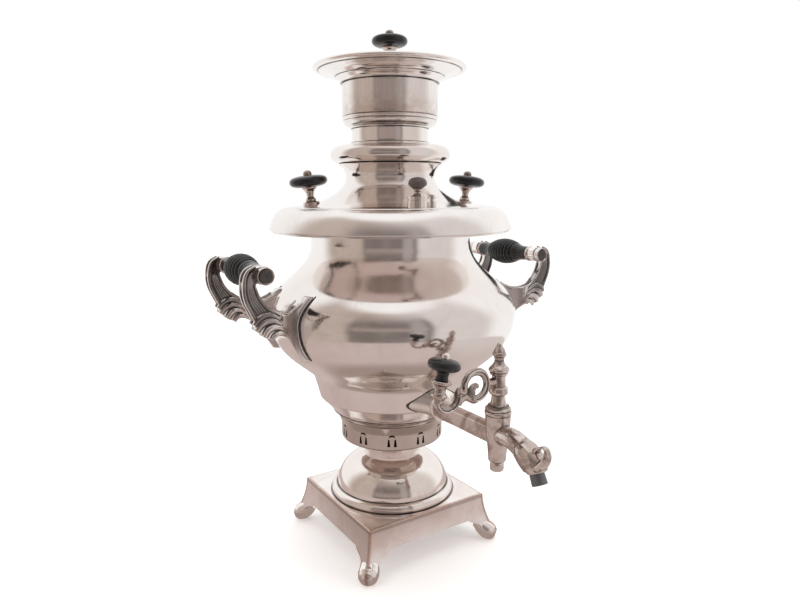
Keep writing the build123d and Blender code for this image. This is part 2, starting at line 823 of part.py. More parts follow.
def plug_nut():
    high = housing_low() - 2 * seat_gap
    low = high - plug_nut_height
    body = turned((plug_nut_radius - 2.0, low), (plug_nut_radius - 0.7, low + 0.7), (plug_nut_radius, low + 2.2),
                  (plug_nut_radius, high))
    return on_tap(body - post(plug_low_radius - 1.4 + fit_gap, low + 1.5, high + 1))


def band(centre_x, centre_z, radius, width, start, end):
    # part of a flat ring, between two directions in degrees, turning upwards from +X
    inner, outer = radius - width, radius
    points = lambda r: [(centre_x + r * math.cos(math.radians(a)), 0, centre_z + r * math.sin(math.radians(a)))
                        for a in (start, (start + end) / 2, end)]
    near, far = points(inner), points(outer)
    edges = [ThreePointArc(*near), Line(near[-1], far[-1]), ThreePointArc(*far[::-1]), Line(far[0], near[0])]
    return Pos(0, -branch_thick / 2, 0) * extrude(make_face(Wire(edges)), amount=branch_thick, dir=(0, 1, 0))


def key_branch():
    line = branch_height()
    ring = Pos(-ring_place, 0, line) * Rot(90, 0, 0) * (
        Cylinder(ring_radius, branch_thick) - Cylinder(ring_radius - ring_band, branch_thick + 2))
    boss_reach = ring_place - ring_radius + ring_band / 2
    boss = Pos(-boss_reach / 2, 0, line) * Box(boss_reach, branch_thick, boss_tall)
    curl_low = line - ring_radius + ring_band / 2 + curl_radius - curl_band / 2
    curl = band(-ring_place - 0.6, curl_low, curl_radius, curl_band, 10, 290)
    hook = band(-hook_place, line - hook_drop, hook_radius, hook_band, 170, 400)
    tie_reach = hook_place - hook_radius - ring_place - ring_radius + 2 * ring_band
    tie = Pos(-ring_place - ring_radius - tie_reach / 2 + ring_band, 0, line - 2.4) * Box(
        tie_reach, branch_thick, 3.4)
    link = Pos(-ring_place - ring_radius + 1.6, 0, line - 8.4) * Rot(0, 24, 0) * Box(9.0, branch_thick - 1, 2.4)
    stub = Pos(-hook_place - hook_radius + hook_band / 2, 0, line - hook_drop) * post(key_seat_foot, -4.0, 1.0)
    branch = ring + boss + curl + hook + tie + link + stub
    bore = post(key_cylinder_radius + fit_gap, line - 9, line + 9)
    return on_tap(branch - bore - at_key_seat() * post(2 * key_seat_foot, 0, 12))


def at_key_seat():
    return Pos(-key_seat_place, 0, branch_height() - key_seat_drop) * Rot(0, key_lean, 0)


def key_seat():
    top = key_seat_length
    body = turned((key_seat_foot, 0), (3.8, 2.6), (5.2, 4.2), (5.7, 5.0), (5.7, 6.2), (4.5, 7.6), (4.05, 9.4),
                  (4.2, top - 4.6), (5.8, top - 2.8), (7.2, top - 1.9), (7.4, top - 1.0), (6.9, top))
    return on_tap(at_key_seat() * (body + post(key_screw, top - 1, key_nut_low() + 1.2)))


def key_nut_low():
    return key_seat_length + 2 * fit_gap + key_stem_length + key_knob_height


def key_knob():
    # black turned knob with its own short stem
    low = key_seat_length + fit_gap
    stem = turned((4.4, low), (4.6, low + 1.2), (4.2, low + 4.0), (5.2, low + key_stem_length))
    head = knob(key_knob_radius, key_knob_height, key_screw, low + key_stem_length)
    return on_tap(at_key_seat() * (stem + head - post(key_screw + fit_gap, low - 1, key_nut_low() + 1)))


def key_nut():
    low = key_nut_low()
    return on_tap(at_key_seat() * (dome_nut(2.9, 3.9, low) - post(key_screw + fit_gap, low - 1, low + 1.4)))


# ---------- handles ----------

def on_rod(part):
    # a piece turned about +Z, laid along Y on the right handle's rod
    return Pos(grip_place, 0, grip_height) * Rot(90, 0, 0) * part


def handle_grip():
    # straight ends, a swollen middle with turned rings
    rings = []
    for n in range(2 * grip_grooves + 1):
        height = (n / 2 - grip_grooves / 2) * grip_groove_pitch
        fall = (grip_radius - grip_end_radius) * (abs(height) / (grip_half - 9)) ** 2 * 1.3
        rings.append((grip_radius - fall - (grip_groove_deep if n % 2 else 0), height))
    start, end = (grip_end_radius + 0.3, 9 - grip_half), (grip_end_radius + 0.3, grip_half - 9)
    low, high = bow(start, 84, 0.35, rings[0], 62, 0.3), bow(rings[-1], 118, 0.3, end, 96, 0.35)
    body = filled(along([(grip_end_radius, -grip_half), start]) + [low] + along(rings) + [high]
                  + along([end, (grip_end_radius, grip_half)]))
    return on_rod(body - post(rod_radius + fit_gap, -grip_half - 1, grip_half + 1))


def ferrule_pair():
    low = grip_half + fit_gap
    cup = turned((grip_end_radius + 0.2, low), (ferrule_radius, low + 0.9), (ferrule_radius, low + ferrule_length - 1.2),
                 (ferrule_radius - 1.2, low + ferrule_length))
    cup -= post(rod_radius + fit_gap, low - 1, low + ferrule_length + 1)
    return on_rod(cup), on_rod(Rot(180, 0, 0) * cup)


def arm_low():
    # where the arm starts along the rod
    return grip_half + fit_gap + ferrule_length + fit_gap


def cap_pair():
    low = arm_low() + arm_thick + fit_gap
    cap = turned((cap_radius - 0.9, low), (cap_radius, low + 0.9), (cap_radius, low + cap_length - 1.0),
                 (cap_radius - 1.2, low + cap_length))
    cap -= post(rod_radius + fit_gap, low - 1, low + cap_length - 1.4)
    return on_rod(cap), on_rod(Rot(180, 0, 0) * cap)


def handle_rod():
    reach = arm_low() + arm_thick + fit_gap + cap_length - 1.6
    return on_rod(post(rod_radius, -reach, reach))


def arm_outline():
    # side view of a bracket, from the boss round the outside, under the knuckles and back along the top
    at = lambda out, up: (grip_place + out * arm_drop, grip_height + up * arm_drop)
    boss = arm_boss_radius / arm_drop
    outside = [bow(at(0.013, boss), -5, 0.35, at(0.204, -0.113), -90, 0.45),
               bow(at(0.204, -0.113), -90, 0.3, at(0.091, -0.467), -112, 0.35)]
    first = bow(outside[-1][-1], -60, 0.4, at(0.008, -0.6), -175, 0.4)
    second = bow(first[-1], -100, 0.4, at(-0.109, -0.635), 165, 0.5)
    under = [bow(second[-1], 150, 0.3, at(-0.272, -0.687), -135, 0.35), bow(at(-0.272, -0.687), -125, 0.3, at(-0.48, -1), -118, 0.3)]
    foot = along([under[-1][-1], at(-0.8, -1), at(-0.8, -0.293), at(-0.547, -0.293)])
    top = [bow(foot[-1][-1], -40, 0.35, at(-0.295, -0.425), 0, 0.45), bow(at(-0.295, -0.425), 0, 0.45, at(0.028, -0.244), 52, 0.4)]
    inside = [bow(top[-1][-1], 48, 0.35, at(0.072, -0.075), 118, 0.35), bow(at(0.072, -0.075), 150, 0.3, at(-boss, 0), 90, 0.5),
              bow(at(-boss, 0), 90, 0.5, at(0.013, boss), -5, 0.45)]
    return outside + [first, second] + under + foot + top + inside


def arm_plan():
    # the same bracket from above: an even arm that widens into a fan on the vessel
    outer, inner = arm_low() + arm_thick, arm_low()
    reach, root = grip_place + 0.27 * arm_drop, grip_place - 0.8 * arm_drop
    front = [bow((fan_start, outer), 180, 0.45, (fan_start - 0.293 * arm_drop, fan_outer), 190, 0.3)]
    rear = [bow((fan_start - 0.48 * arm_drop, fan_inner), 25, 0.35, (fan_start, inner), 0, 0.4)]
    tail = along([front[-1][-1], (root, fan_outer), (root, fan_inner), rear[0][0]])
    return along([(reach, outer), (fan_start, outer)]) + front + tail + rear + along(
        [rear[-1][-1], (reach, inner), (reach, outer)])


def handle_bracket(front):
    # front is -1 for the bracket on the tap side, +1 for the far one
    side_on = plate(arm_outline(), -grip_height, 0)
    from_above = Rot(90, 0, 0) * plate(arm_plan(), 0, 2 * grip_height)
    bore = on_rod(post(rod_radius + fit_gap, -2 * grip_half, 2 * grip_half))
    casting = (side_on & from_above) - bore - body_solid()
    return casting if front < 0 else mirror(casting, about=Plane.XZ)


def left(part):
    # the same piece on the left handle
    return mirror(part, about=Plane.YZ)


# ---------- the nodes ----------

def lid_knob_set(side):
    place = on_lid(side)
    stem = place * knob_stem(4.0) - lid_solid()
    return stem, place * knob(), place * (dome_nut() - knob_tip(1.0))


def knob_tip(extra):
    # the threaded end of the stem inside the nut
    return post(knob_hole, stem_height, stem_height + knob_height + extra)


def build_nodes():
    nodes = {
        "base_tray": base_tray(),
        "foot_ring": foot_ring(),
        "pedestal_bell": shell(pedestal_outline()),
        "vent_ring": vent_ring(),
        "grate": grate(),
        "fire_tube": fire_tube(),
        "body_heel": body_heel(),
        "body_belly": body_belly(),
        "body_shoulder": body_shoulder(),
        "drip_plate": drip_plate(),
        "drip_ring": drip_ring(),
        "lid_bell": shell(lid_outline()),
        "lid_skirt": lid_skirt(),
        "lid_collar": lid_collar(),
        "lid_sleeve": lid_sleeve(),
        "vent_seat": vent_seat(),
        "vent_pin": vent_pin(),
        "vent_cap": vent_cap(),
        "vent_cap_knob": vent_cap_knob(),
        "crown_neck": crown_neck(),
        "crown_cylinder": crown_cylinder(),
        "crown_flange": crown_flange(),
        "damper_disc": damper_disc(),
        "damper_stem": damper_place() * knob_stem(),
        "damper_knob": damper_place() * knob(damper_knob_scale * knob_radius),
        "damper_nut": damper_place() * (dome_nut() - knob_tip(1.0)),
        "tap_escutcheon": tap_escutcheon(),
        "tap_body": tap_body(),
        "tap_nozzle": tap_nozzle(),
        "key_plug": key_plug(),
        "key_finial": key_finial(),
        "plug_nut": plug_nut(),
        "key_branch": key_branch(),
        "key_seat": key_seat(),
        "key_knob": key_knob(),
        "key_nut": key_nut(),
    }
    for side, name in ((-1, "left"), (1, "right")):
        stem, head, nut = lid_knob_set(side)
        nodes[f"lid_knob_stem_{name}"] = stem
        nodes[f"lid_knob_{name}"] = head
        nodes[f"lid_knob_nut_{name}"] = nut
    for name, placed in (("right", lambda part: part), ("left", left)):
        nodes[f"handle_bracket_{name}_front"] = placed(handle_bracket(-1))
        nodes[f"handle_bracket_{name}_back"] = placed(handle_bracket(1))
        nodes[f"handle_rod_{name}"] = placed(handle_rod())
        nodes[f"handle_grip_{name}"] = placed(handle_grip())
        nodes[f"handle_ferrules_{name}"] = Compound(children=[placed(p) for p in ferrule_pair()])
        nodes[f"handle_caps_{name}"] = Compound(children=[placed(p) for p in cap_pair()])
    return nodes


os.makedirs("parts", exist_ok=True)
for node, solid in build_nodes().items():
    export_step(solid, f"parts/{node}.step")
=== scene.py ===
import bpy
import math
from mathutils import Matrix, Vector


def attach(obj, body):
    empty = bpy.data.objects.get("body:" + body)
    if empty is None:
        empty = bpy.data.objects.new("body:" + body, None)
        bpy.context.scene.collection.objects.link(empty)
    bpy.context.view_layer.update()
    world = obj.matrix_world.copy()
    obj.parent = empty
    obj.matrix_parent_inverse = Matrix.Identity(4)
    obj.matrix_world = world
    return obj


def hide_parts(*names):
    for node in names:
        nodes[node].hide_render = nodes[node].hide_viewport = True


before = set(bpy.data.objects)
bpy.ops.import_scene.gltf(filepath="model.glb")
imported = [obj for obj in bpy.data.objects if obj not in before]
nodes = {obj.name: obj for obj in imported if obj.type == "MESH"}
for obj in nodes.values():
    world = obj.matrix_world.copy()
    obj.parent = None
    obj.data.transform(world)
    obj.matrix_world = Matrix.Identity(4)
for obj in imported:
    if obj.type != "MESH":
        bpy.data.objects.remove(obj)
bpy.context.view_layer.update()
mm = 0.001  # sizes of pieces are typed in millimetres
print("frame loaded:", len(nodes), "solids")

cameraSet = {"place": (-0.30975, -0.49036, 0.32596), "turn": (80.31, 0.197, -33.124),
             "lens": 28.6155, "sensor": 36.0, "near": 0.01}

# the room that the metal sees: zones of tone, in degrees across from the front and up from the horizon
roomSet = {
    "front": (-0.534, -0.8454), "white": (1.0, 1.0, 1.0), "strength": 1.0, "cloudScale": 3.2, "uneven": 0.15,
    "left": (0.49, 0.405, 0.355), "right": (0.70, 0.65, 0.63), "leftToRight": (-0.7, 0.9),
    "wall": {"middle": 0, "half": 100, "soft": 14, "high": 64, "softHigh": 7},
    "opening": {"middle": -1, "half": 38, "soft": 4.5, "high": 46, "softHigh": 20, "low": -28, "softLow": 3,
        "colour": (0.20, 0.168, 0.16)},
    "band": {"middle": -1, "half": 34, "soft": 4, "high": 13, "softHigh": 7, "low": 1, "softLow": 4,
        "colour": (0.38, 0.315, 0.288)},
    "pane": {"middle": 24, "half": 7, "soft": 4, "high": 40, "softHigh": 14, "colour": (0.42, 0.38, 0.375)},
}
# the floor's near tone, darker round the object, is a painted contact shadow
floorSet = {"half": 6.0, "near": (0.95, 0.945, 0.94), "far": (0.99, 0.99, 0.99), "reach": (0.12, 0.36),
            "glow": 0.3, "rough": 0.75, "speckleScale": 900.0}
# the table's near tone is a painted shadow round the object
tableSet = {"radius": 0.51, "high": 0.001, "near": (0.375, 0.30, 0.27), "far": (0.615, 0.515, 0.49),
            "reach": (0.10, 0.19), "cloudScale": 5.0, "cloudShare": 0.25,
            "toRight": (0.8376, -0.546), "rightReach": (0.10, 0.40), "rightShare": 0.85}
lampSet = {
    "left": {"place": (-1.5, -0.1, 1.25), "size": (0.9, 1.3), "power": 7, "tint": (1.0, 0.98, 0.96)},
    "right": {"place": (0.9, -1.35, 1.1), "size": (0.55, 1.2), "power": 5, "tint": (1.0, 0.985, 0.97)},
    "top": {"place": (0.1, 0.2, 1.7), "size": (1.2, 1.2), "power": 7, "tint": (1.0, 1.0, 1.0)},
}
lampAim = (0, 0, 0.23)


class Value:
    # a socket that can be used in plain arithmetic
    def __init__(self, paint, socket):
        self.paint = paint
        self.socket = socket

    def op(self, name, *others):
        return self.paint.node("ShaderNodeMath", {"operation": name}, dict(enumerate((self, *others))))

    def __add__(self, other): return self.op("ADD", other)
    def __radd__(self, other): return self.op("ADD", other)
    def __sub__(self, other): return self.op("SUBTRACT", other)
    def __rsub__(self, other): return self.paint.node("ShaderNodeMath", {"operation": "SUBTRACT"}, {0: other, 1: self})
    def __mul__(self, other): return self.op("MULTIPLY", other)
    def __rmul__(self, other): return self.op("MULTIPLY", other)
    def __pow__(self, other): return self.op("POWER", other)
    def __abs__(self): return self.op("ABSOLUTE")
    def clamp(self): return self.op("MAXIMUM", 0.0).op("MINIMUM", 1.0)

    def smooth(self, low, high):
        return self.paint.node("ShaderNodeMapRange", {"interpolation_type": "SMOOTHSTEP"},
                               {"Value": self, "From Min": low, "From Max": high, "To Min": 0.0, "To Max": 1.0})


class Paint:
    # makes the nodes of one material or of the world
    def __init__(self, owner):
        owner.use_nodes = True
        self.owner = owner
        self.tree = owner.node_tree
        self.tree.nodes.clear()

    def node(self, kind, settings=None, inputs=None, out=0):
        made = self.tree.nodes.new(kind)
        for name, value in (settings or {}).items():
            setattr(made, name, value)
        for name, value in (inputs or {}).items():
            if isinstance(value, Value):
                self.tree.links.new(value.socket, made.inputs[name])
            else:
                made.inputs[name].default_value = value
        return Value(self, made.outputs[out]) if made.outputs else None

    def place(self, stretch=(1, 1, 1), tilt=(0, 0, 0)):
        where = self.node("ShaderNodeTexCoord", out="Object")
        return self.node("ShaderNodeMapping", {}, {"Vector": where, "Scale": stretch, "Rotation": tilt})

    def axes(self, vector):
        return [self.node("ShaderNodeSeparateXYZ", {}, {0: vector}, out=k) for k in range(3)]

    def join(self, x, y, z):
        return self.node("ShaderNodeCombineXYZ", {}, {0: x, 1: y, 2: z})

    def angle(self, up, along):
        return self.node("ShaderNodeMath", {"operation": "ARCTAN2"}, {0: up, 1: along})

    def vector(self, name, *vectors):
        return self.node("ShaderNodeVectorMath", {"operation": name}, dict(enumerate(vectors)), out="Value")

    def noise(self, where, scale, detail=3.0, rough=0.55, twist=0.0):
        return self.node("ShaderNodeTexNoise", {}, {"Vector": where, "Scale": scale, "Detail": detail,
                                                    "Roughness": rough, "Distortion": twist}, out="Fac")

    def blend(self, share, low, high):
        return self.node("ShaderNodeMix", {"data_type": "RGBA"}, {0: share, 6: colour(low), 7: colour(high)}, out=2)

    def bump(self, height, strength, distance):
        return self.node("ShaderNodeBump", {}, {"Height": height, "Strength": strength, "Distance": distance})

    def finish(self, inputs):
        shader = self.node("ShaderNodeBsdfPrincipled", {}, inputs)
        self.node("ShaderNodeOutputMaterial", {}, {"Surface": shader})
        return self.owner


def colour(value):
    return value if isinstance(value, Value) else (*value, 1.0)


def newPaint(name):
    return Paint(bpy.data.materials.new(name))


def setCamera():
    data = bpy.data.cameras.new("mainCamera")
    data.lens = cameraSet["lens"]
    data.sensor_width = cameraSet["sensor"]
    data.clip_start = cameraSet["near"]
    camera = bpy.data.objects.new("mainCamera", data)
    camera.location = cameraSet["place"]
    camera.rotation_euler = [math.radians(v) for v in cameraSet["turn"]]
    bpy.context.collection.objects.link(camera)
    bpy.context.scene.camera = camera


def setWorld():
    paint = Paint(bpy.data.worlds.new("whiteRoom"))
    bpy.context.scene.world = paint.owner
    where = paint.node("ShaderNodeTexCoord", out="Generated")
    dot = lambda axis: paint.vector("DOT_PRODUCT", where, axis)
    x, y = roomSet["front"]
    across = paint.angle(dot((-y, x, 0)), dot((x, y, 0)))
    high = dot((0, 0, 1)).op("ARCSINE")
    uneven = paint.noise(where, roomSet["cloudScale"]).smooth(0.25, 0.75)
    strength = 1 - roomSet["uneven"] + uneven * roomSet["uneven"]
    tent = paint.blend(across.smooth(*roomSet["leftToRight"]), roomSet["left"], roomSet["right"])
    shade = roomSet["white"]
    for zone in (roomSet[key] for key in ("wall", "opening", "band", "pane")):
        rad = {key: math.radians(value) for key, value in zone.items() if key != "colour"}
        inside = (abs(across - rad["middle"]).smooth(rad["half"] + rad["soft"], rad["half"] - rad["soft"])
                  * high.smooth(rad["high"] + rad["softHigh"], rad["high"] - rad["softHigh"]))
        if "low" in rad:
            inside = inside * high.smooth(rad["low"] - rad["softLow"], rad["low"] + rad["softLow"])
        shade = paint.blend(inside * strength, shade, zone.get("colour", tent))
    seen = paint.node("ShaderNodeLightPath", out="Is Camera Ray")
    shade = paint.blend(seen, shade, roomSet["white"])  # the backdrop itself is plain white
    light = paint.node("ShaderNodeBackground", {}, {"Color": shade, "Strength": roomSet["strength"]})
    paint.node("ShaderNodeOutputWorld", {}, {"Surface": light})


def setLamps():
    for name, info in lampSet.items():
        data = bpy.data.lights.new(name + "Lamp", "AREA")
        data.shape = "RECTANGLE"
        data.size, data.size_y = info["size"]
        data.energy = info["power"]
        data.color = info["tint"]
        lamp = bpy.data.objects.new(name + "Lamp", data)
        lamp.location = info["place"]
        aim = Vector(lampAim) - Vector(info["place"])
        lamp.rotation_euler = aim.to_track_quat("-Z", "Y").to_euler()
        lamp.visible_glossy = False
        bpy.context.collection.objects.link(lamp)


def laid(name, material, **unseen):
    # the plane or disc that was just added, with its material and the rays that don't see it
    piece = bpy.context.object
    piece.name = name
    bpy.ops.object.transform_apply(location=True, rotation=True, scale=True)
    piece.data.materials.append(material)
    for ray, seen in unseen.items():
        setattr(piece, ray, seen)
    return piece


def setFloor():
    clearChoice()
    bpy.ops.mesh.primitive_plane_add(size=2 * floorSet["half"], location=(0, 0, 0))
    paint = newPaint("paleFloor")
    where = paint.place()
    speckle = paint.noise(where, floorSet["speckleScale"], 2.0)
    # a little darker near the object: a painted contact shadow
    tint = paint.blend(paint.vector("LENGTH", where).smooth(*floorSet["reach"]), floorSet["near"], floorSet["far"])
    material = paint.finish({
        "Base Color": tint, "Roughness": floorSet["rough"] + speckle * 0.1, "Specular IOR Level": 0.2,
        "Emission Color": (1.0, 1.0, 1.0, 1.0), "Emission Strength": floorSet["glow"]})
    floor = laid("floor", material, visible_glossy=False)


def setTable():
    # a round table top under the object, seen only in the metal; it glows with its own tones rather than being lit, and
    # is darker near the object as a painted shadow
    clearChoice()
    bpy.ops.mesh.primitive_circle_add(vertices=96, radius=tableSet["radius"], fill_type="NGON",
                                      location=(0, 0, tableSet["high"]))
    paint = newPaint("tableTone")
    where = paint.place()
    uneven = paint.noise(where, tableSet["cloudScale"]).smooth(0.3, 0.75)
    # darker near the object: a painted shadow on the table
    shade = paint.blend(paint.vector("LENGTH", where).smooth(*tableSet["reach"]), tableSet["near"], tableSet["far"])
    shade = paint.blend(uneven * tableSet["cloudShare"], shade, tableSet["near"])
    x, y = paint.axes(where)[:2]
    side = (x * tableSet["toRight"][0] + y * tableSet["toRight"][1]).smooth(*tableSet["rightReach"])
    shade = paint.blend(side * tableSet["rightShare"], shade, roomSet["right"])
    glow = paint.node("ShaderNodeEmission", {}, {"Color": shade, "Strength": 1.0})
    paint.node("ShaderNodeOutputMaterial", {}, {"Surface": glow})
    table = laid("tableTop", paint.owner, visible_camera=False, visible_diffuse=False, visible_shadow=False)


# tones of the nickel plate, from clean through warm to dull
nickelSet = {"clean": (0.895, 0.85, 0.82), "warm": (0.83, 0.745, 0.70), "dull": (0.70, 0.61, 0.565)}
# the vent ring's darker tones: aged satin plate, with painted shade for its place under the vessel
agedShadedSet = {"clean": (0.64, 0.57, 0.53), "warm": (0.54, 0.455, 0.41), "dull": (0.36, 0.295, 0.26)}
brimSet = {"clean": (0.93, 0.895, 0.87), "warm": (0.86, 0.79, 0.75), "dull": (0.72, 0.64, 0.60)}
trumpetSet = {"clean": (0.93, 0.885, 0.83), "warm": (0.84, 0.765, 0.69), "dull": (0.58, 0.50, 0.44)}
footSet = {"clean": (0.90, 0.84, 0.80), "warm": (0.84, 0.745, 0.70), "dull": (0.58, 0.49, 0.45)}

# dark lines of old polish: height and half width of each
seamSet = {
    "tint": (0.09, 0.072, 0.064),
    "shells": ((44.7, 0.5), (51.9, 0.45), (99.3, 0.35), (121.7, 0.35), (127.0, 0.55), (350.4, 0.6), (365.9, 0.5),
        (368.2, 0.5), (380.1, 0.5), (386.9, 0.25), (390.5, 0.3), (418.2, 0.5), (423.5, 0.4), (428.7, 0.4)),
    "tap": ((125.0, 0.5), (161.6, 0.35), (165.0, 0.5), (168.4, 0.5), (176.8, 0.4), (183.6, 0.4), (192.1, 0.5),
        (194.4, 0.4), (203.4, 0.5), (206.0, 0.35), (209.3, 0.35)),
}


def seams(paint, where, lines=seamSet["shells"]):
    z = paint.axes(where)[2]
    uneven = paint.noise(where, 60.0, 2.0).smooth(0.25, 0.6)
    mark = 0.0
    for high, half in lines:
        line = abs(z - high * mm).smooth(half * 1.25 * mm, half * 0.45 * mm)
        mark = line.op("MAXIMUM", mark)
    return mark * (0.45 + uneven * 0.5)


# pattern sizes of the polished plate: cloudy tarnish, fine spots, marks of wiping and slow waves
plateSet = {"cloudScale": 14.0, "fineScale": 60.0, "wipeScale": 420.0, "waveScale": 30.0, "ripple": 0.10}


def nickel(name, shine=0.07, haze=0.10, warmth=0.55, tints=nickelSet):
    paint = newPaint(name)
    where = paint.place()
    cloud = paint.noise(where, plateSet["cloudScale"], 3.0, 0.6, 0.6).smooth(0.38, 0.72)
    fine = paint.noise(paint.place((1, 1, 0.35)), plateSet["fineScale"], 4.0, 0.65, 1.2)
    wipe = paint.noise(paint.place((1, 1, 0.06), (0.5, 0.3, 0.0)), plateSet["wipeScale"], 3.0, 0.6)
    tint = paint.blend(cloud * warmth, tints["clean"], tints["warm"])
    tint = paint.blend(fine.smooth(0.55, 0.85) * 0.35, tint, tints["dull"])
    tint = paint.blend(seams(paint, where), tint, seamSet["tint"])
    rough = shine + cloud * haze * 0.5 + fine.smooth(0.4, 0.9) * haze + wipe * 0.04
    height = paint.noise(where, plateSet["waveScale"], 1.0) * 0.7 + wipe * 0.015 + fine * 0.05
    return paint.finish({
        "Base Color": tint, "Metallic": 1.0, "Roughness": rough,
        "Normal": paint.bump(height, plateSet["ripple"], 0.002)})


# the crown's satin cylinder: streaks down it, scratches round it and a stain above its groove
satinSet = {"clean": (0.88, 0.835, 0.80), "streak": (0.72, 0.625, 0.58), "scratch": (0.52, 0.42, 0.37),
            "stain": (0.58, 0.45, 0.39), "stainTop": (0.412, 0.394), "stainLow": (0.3895, 0.3915), "rough": 0.10}


def satinNickel():
    paint = newPaint("satinStreakedNickel")
    where = paint.place()
    x, y, z = paint.axes(where)
    around = paint.angle(y, x)
    streak = paint.noise(paint.join(around * 7.0, z * 5.0, 0.0), 7.0, 4.0, 0.65)
    fine = paint.noise(paint.join(around * 1.5, z * 420.0, 0.3), 6.0, 3.0, 0.7)
    patch = paint.noise(paint.join(around * 2.0, z * 60.0, 0.7), 2.0).smooth(0.3, 0.65)
    stain = z.smooth(*satinSet["stainTop"]) * z.smooth(*satinSet["stainLow"]) * patch
    tint = paint.blend(streak.smooth(0.4, 0.7) * 0.4, satinSet["clean"], satinSet["streak"])
    tint = paint.blend(fine.smooth(0.6, 0.8) * 0.35, tint, satinSet["scratch"])
    tint = paint.blend(stain * 0.5, tint, satinSet["stain"])
    tint = paint.blend(seams(paint, where), tint, seamSet["tint"])
    return paint.finish({
        "Base Color": tint, "Metallic": 1.0, "Roughness": satinSet["rough"] + streak * 0.08 + fine * 0.12,
        "Normal": paint.bump(streak * 0.06 + fine * 0.5, 0.09, 0.0006)})


# nickel-plated castings; arm values are distances from the axis and heights along the handles' arms
castSet = {"clean": (0.72, 0.645, 0.605), "dark": (0.085, 0.074, 0.067), "cloud": (0.40, 0.305, 0.262),
           "edge": (0.86, 0.82, 0.79), "cloudScale": 48.0, "grainScale": 520.0, "pitScale": 90.0,
           # the rim colour is a painted highlight on the arms' rims; the arm values place it and the painted shade on
           # the arms' flat sides
           "rim": (0.96, 0.94, 0.925), "armOut": (0.116, 0.126), "armSideShade": (0.126, 0.138),
           "armRimHighlight": (0.128, 0.134), "armHigh": (0.222, 0.234)}


def castNickel(name, patina=0.75, clean=castSet["clean"], dark=castSet["dark"], armShadeAndHighlight=0.0, lines=(), paintedShadeSpots=()):
    # darker in its recesses as patina and round any given spots as painted shade; the arm setting paints shade on the
    # flat sides of the handles' ribbed arms and a painted highlight on their rims
    paint = newPaint(name)
    where = paint.place()
    x, y, z = paint.axes(where)
    sunk = paint.node("ShaderNodeNewGeometry", out="Pointiness").smooth(0.502, 0.47)
    edge = paint.node("ShaderNodeNewGeometry", out="Pointiness").smooth(0.51, 0.56)
    cloud = paint.noise(where, castSet["cloudScale"], 4.0, 0.62, 0.9).smooth(0.40, 0.64)
    grain = paint.noise(where, castSet["grainScale"], 3.0, 0.6)
    darkened = sunk * patina
    if lines:
        darkened = darkened + seams(paint, where, lines)
    # painted shade round each given spot
    for across, high, radius in paintedShadeSpots:
        away = ((x - across * mm) ** 2.0 + (z - high * mm) ** 2.0).op("SQRT")
        darkened = darkened + away.smooth((radius + 0.5) * mm, (radius - 0.3) * mm) * (0.35 + cloud * 0.45)
    cover = cloud * 0.85
    rough = 0.10 + cloud * 0.10 + sunk * 0.15
    if armShadeAndHighlight:
        out = abs(x).smooth(*castSet["armOut"])
        rough = rough + (1 - out) * 0.24
        side = abs(paint.axes(paint.node("ShaderNodeNewGeometry", out="Normal"))[1]).smooth(0.45, 0.8)
        # painted shade on the arms' flat sides, which face along Y
        darkened = darkened + abs(x).smooth(*castSet["armSideShade"]) * z.smooth(*castSet["armHigh"]) * side * armShadeAndHighlight
        # painted highlight on the arms' rims
        clean = paint.blend(abs(x).smooth(*castSet["armRimHighlight"]) * (1 - side), clean, castSet["rim"])
        cover = cloud * (0.10 + out * side * 0.5)
    tint = paint.blend(cover, clean, castSet["cloud"])
    tint = paint.blend(darkened.clamp(), tint, dark)
    tint = paint.blend(edge * 0.75, tint, castSet["edge"])
    height = grain * 0.2 + cloud * 0.2 + paint.noise(where, castSet["pitScale"], 2.0) * 0.5
    return paint.finish({
        "Base Color": tint, "Metallic": 1.0, "Roughness": rough, "Normal": paint.bump(height, 0.16, 0.0008)})


woodSet = {"black": (0.011, 0.0105, 0.012), "worn": (0.055, 0.047, 0.042), "rough": 0.20, "coat": 0.25,
           "ringScale": 120.0, "wearScale": 90.0}


def blackWood():
    paint = newPaint("ebonisedWood")
    rings = paint.noise(paint.place((1, 1, 9)), woodSet["ringScale"])
    wear = paint.noise(paint.place(), woodSet["wearScale"], 4.0, 0.7).smooth(0.62, 0.8)
    return paint.finish({
        "Base Color": paint.blend(wear * 0.7, woodSet["black"], woodSet["worn"]),
        "Roughness": woodSet["rough"] + rings * 0.12 + wear * 0.2, "Specular IOR Level": 0.35,
        "Coat Weight": woodSet["coat"], "Coat Roughness": 0.12, "Normal": paint.bump(rings, 0.05, 0.0004)})


def plainMetal(name, low, high, rough, metallic=1.0, scale=80.0):
    paint = newPaint(name)
    where = paint.place()
    spots = paint.noise(where, scale, 4.0, 0.65)
    grain = paint.noise(where, scale * 9, 3.0)
    return paint.finish({
        "Base Color": paint.blend(spots, low, high), "Metallic": metallic,
        "Roughness": rough + spots * 0.18, "Normal": paint.bump(grain, 0.2, 0.0005)})


# the base's plate: copper on its edges and corners, a dark ring round the pedestal, a line under the edge
wornSet = {
    "clean": (0.95, 0.905, 0.88), "warm": (0.85, 0.745, 0.70), "ringAndLineTone": (0.10, 0.075, 0.065),
    "copper": (0.44, 0.26, 0.18),
    "rim": (0.0585, 0.0615), "rimHigh": (0.0415, 0.0440), "corner": (0.0035, 0.0004), "cornerOut": (0.056, 0.061),
    "ring": 0.0585, "ringWidth": (0.0012, 0.0004), "ringHigh": (0.0438, 0.0441),
    "line": 0.0625, "lineWidth": (0.0011, 0.0003), "lineHigh": (0.040, 0.0412), "lineLow": (0.0436, 0.0428),
}


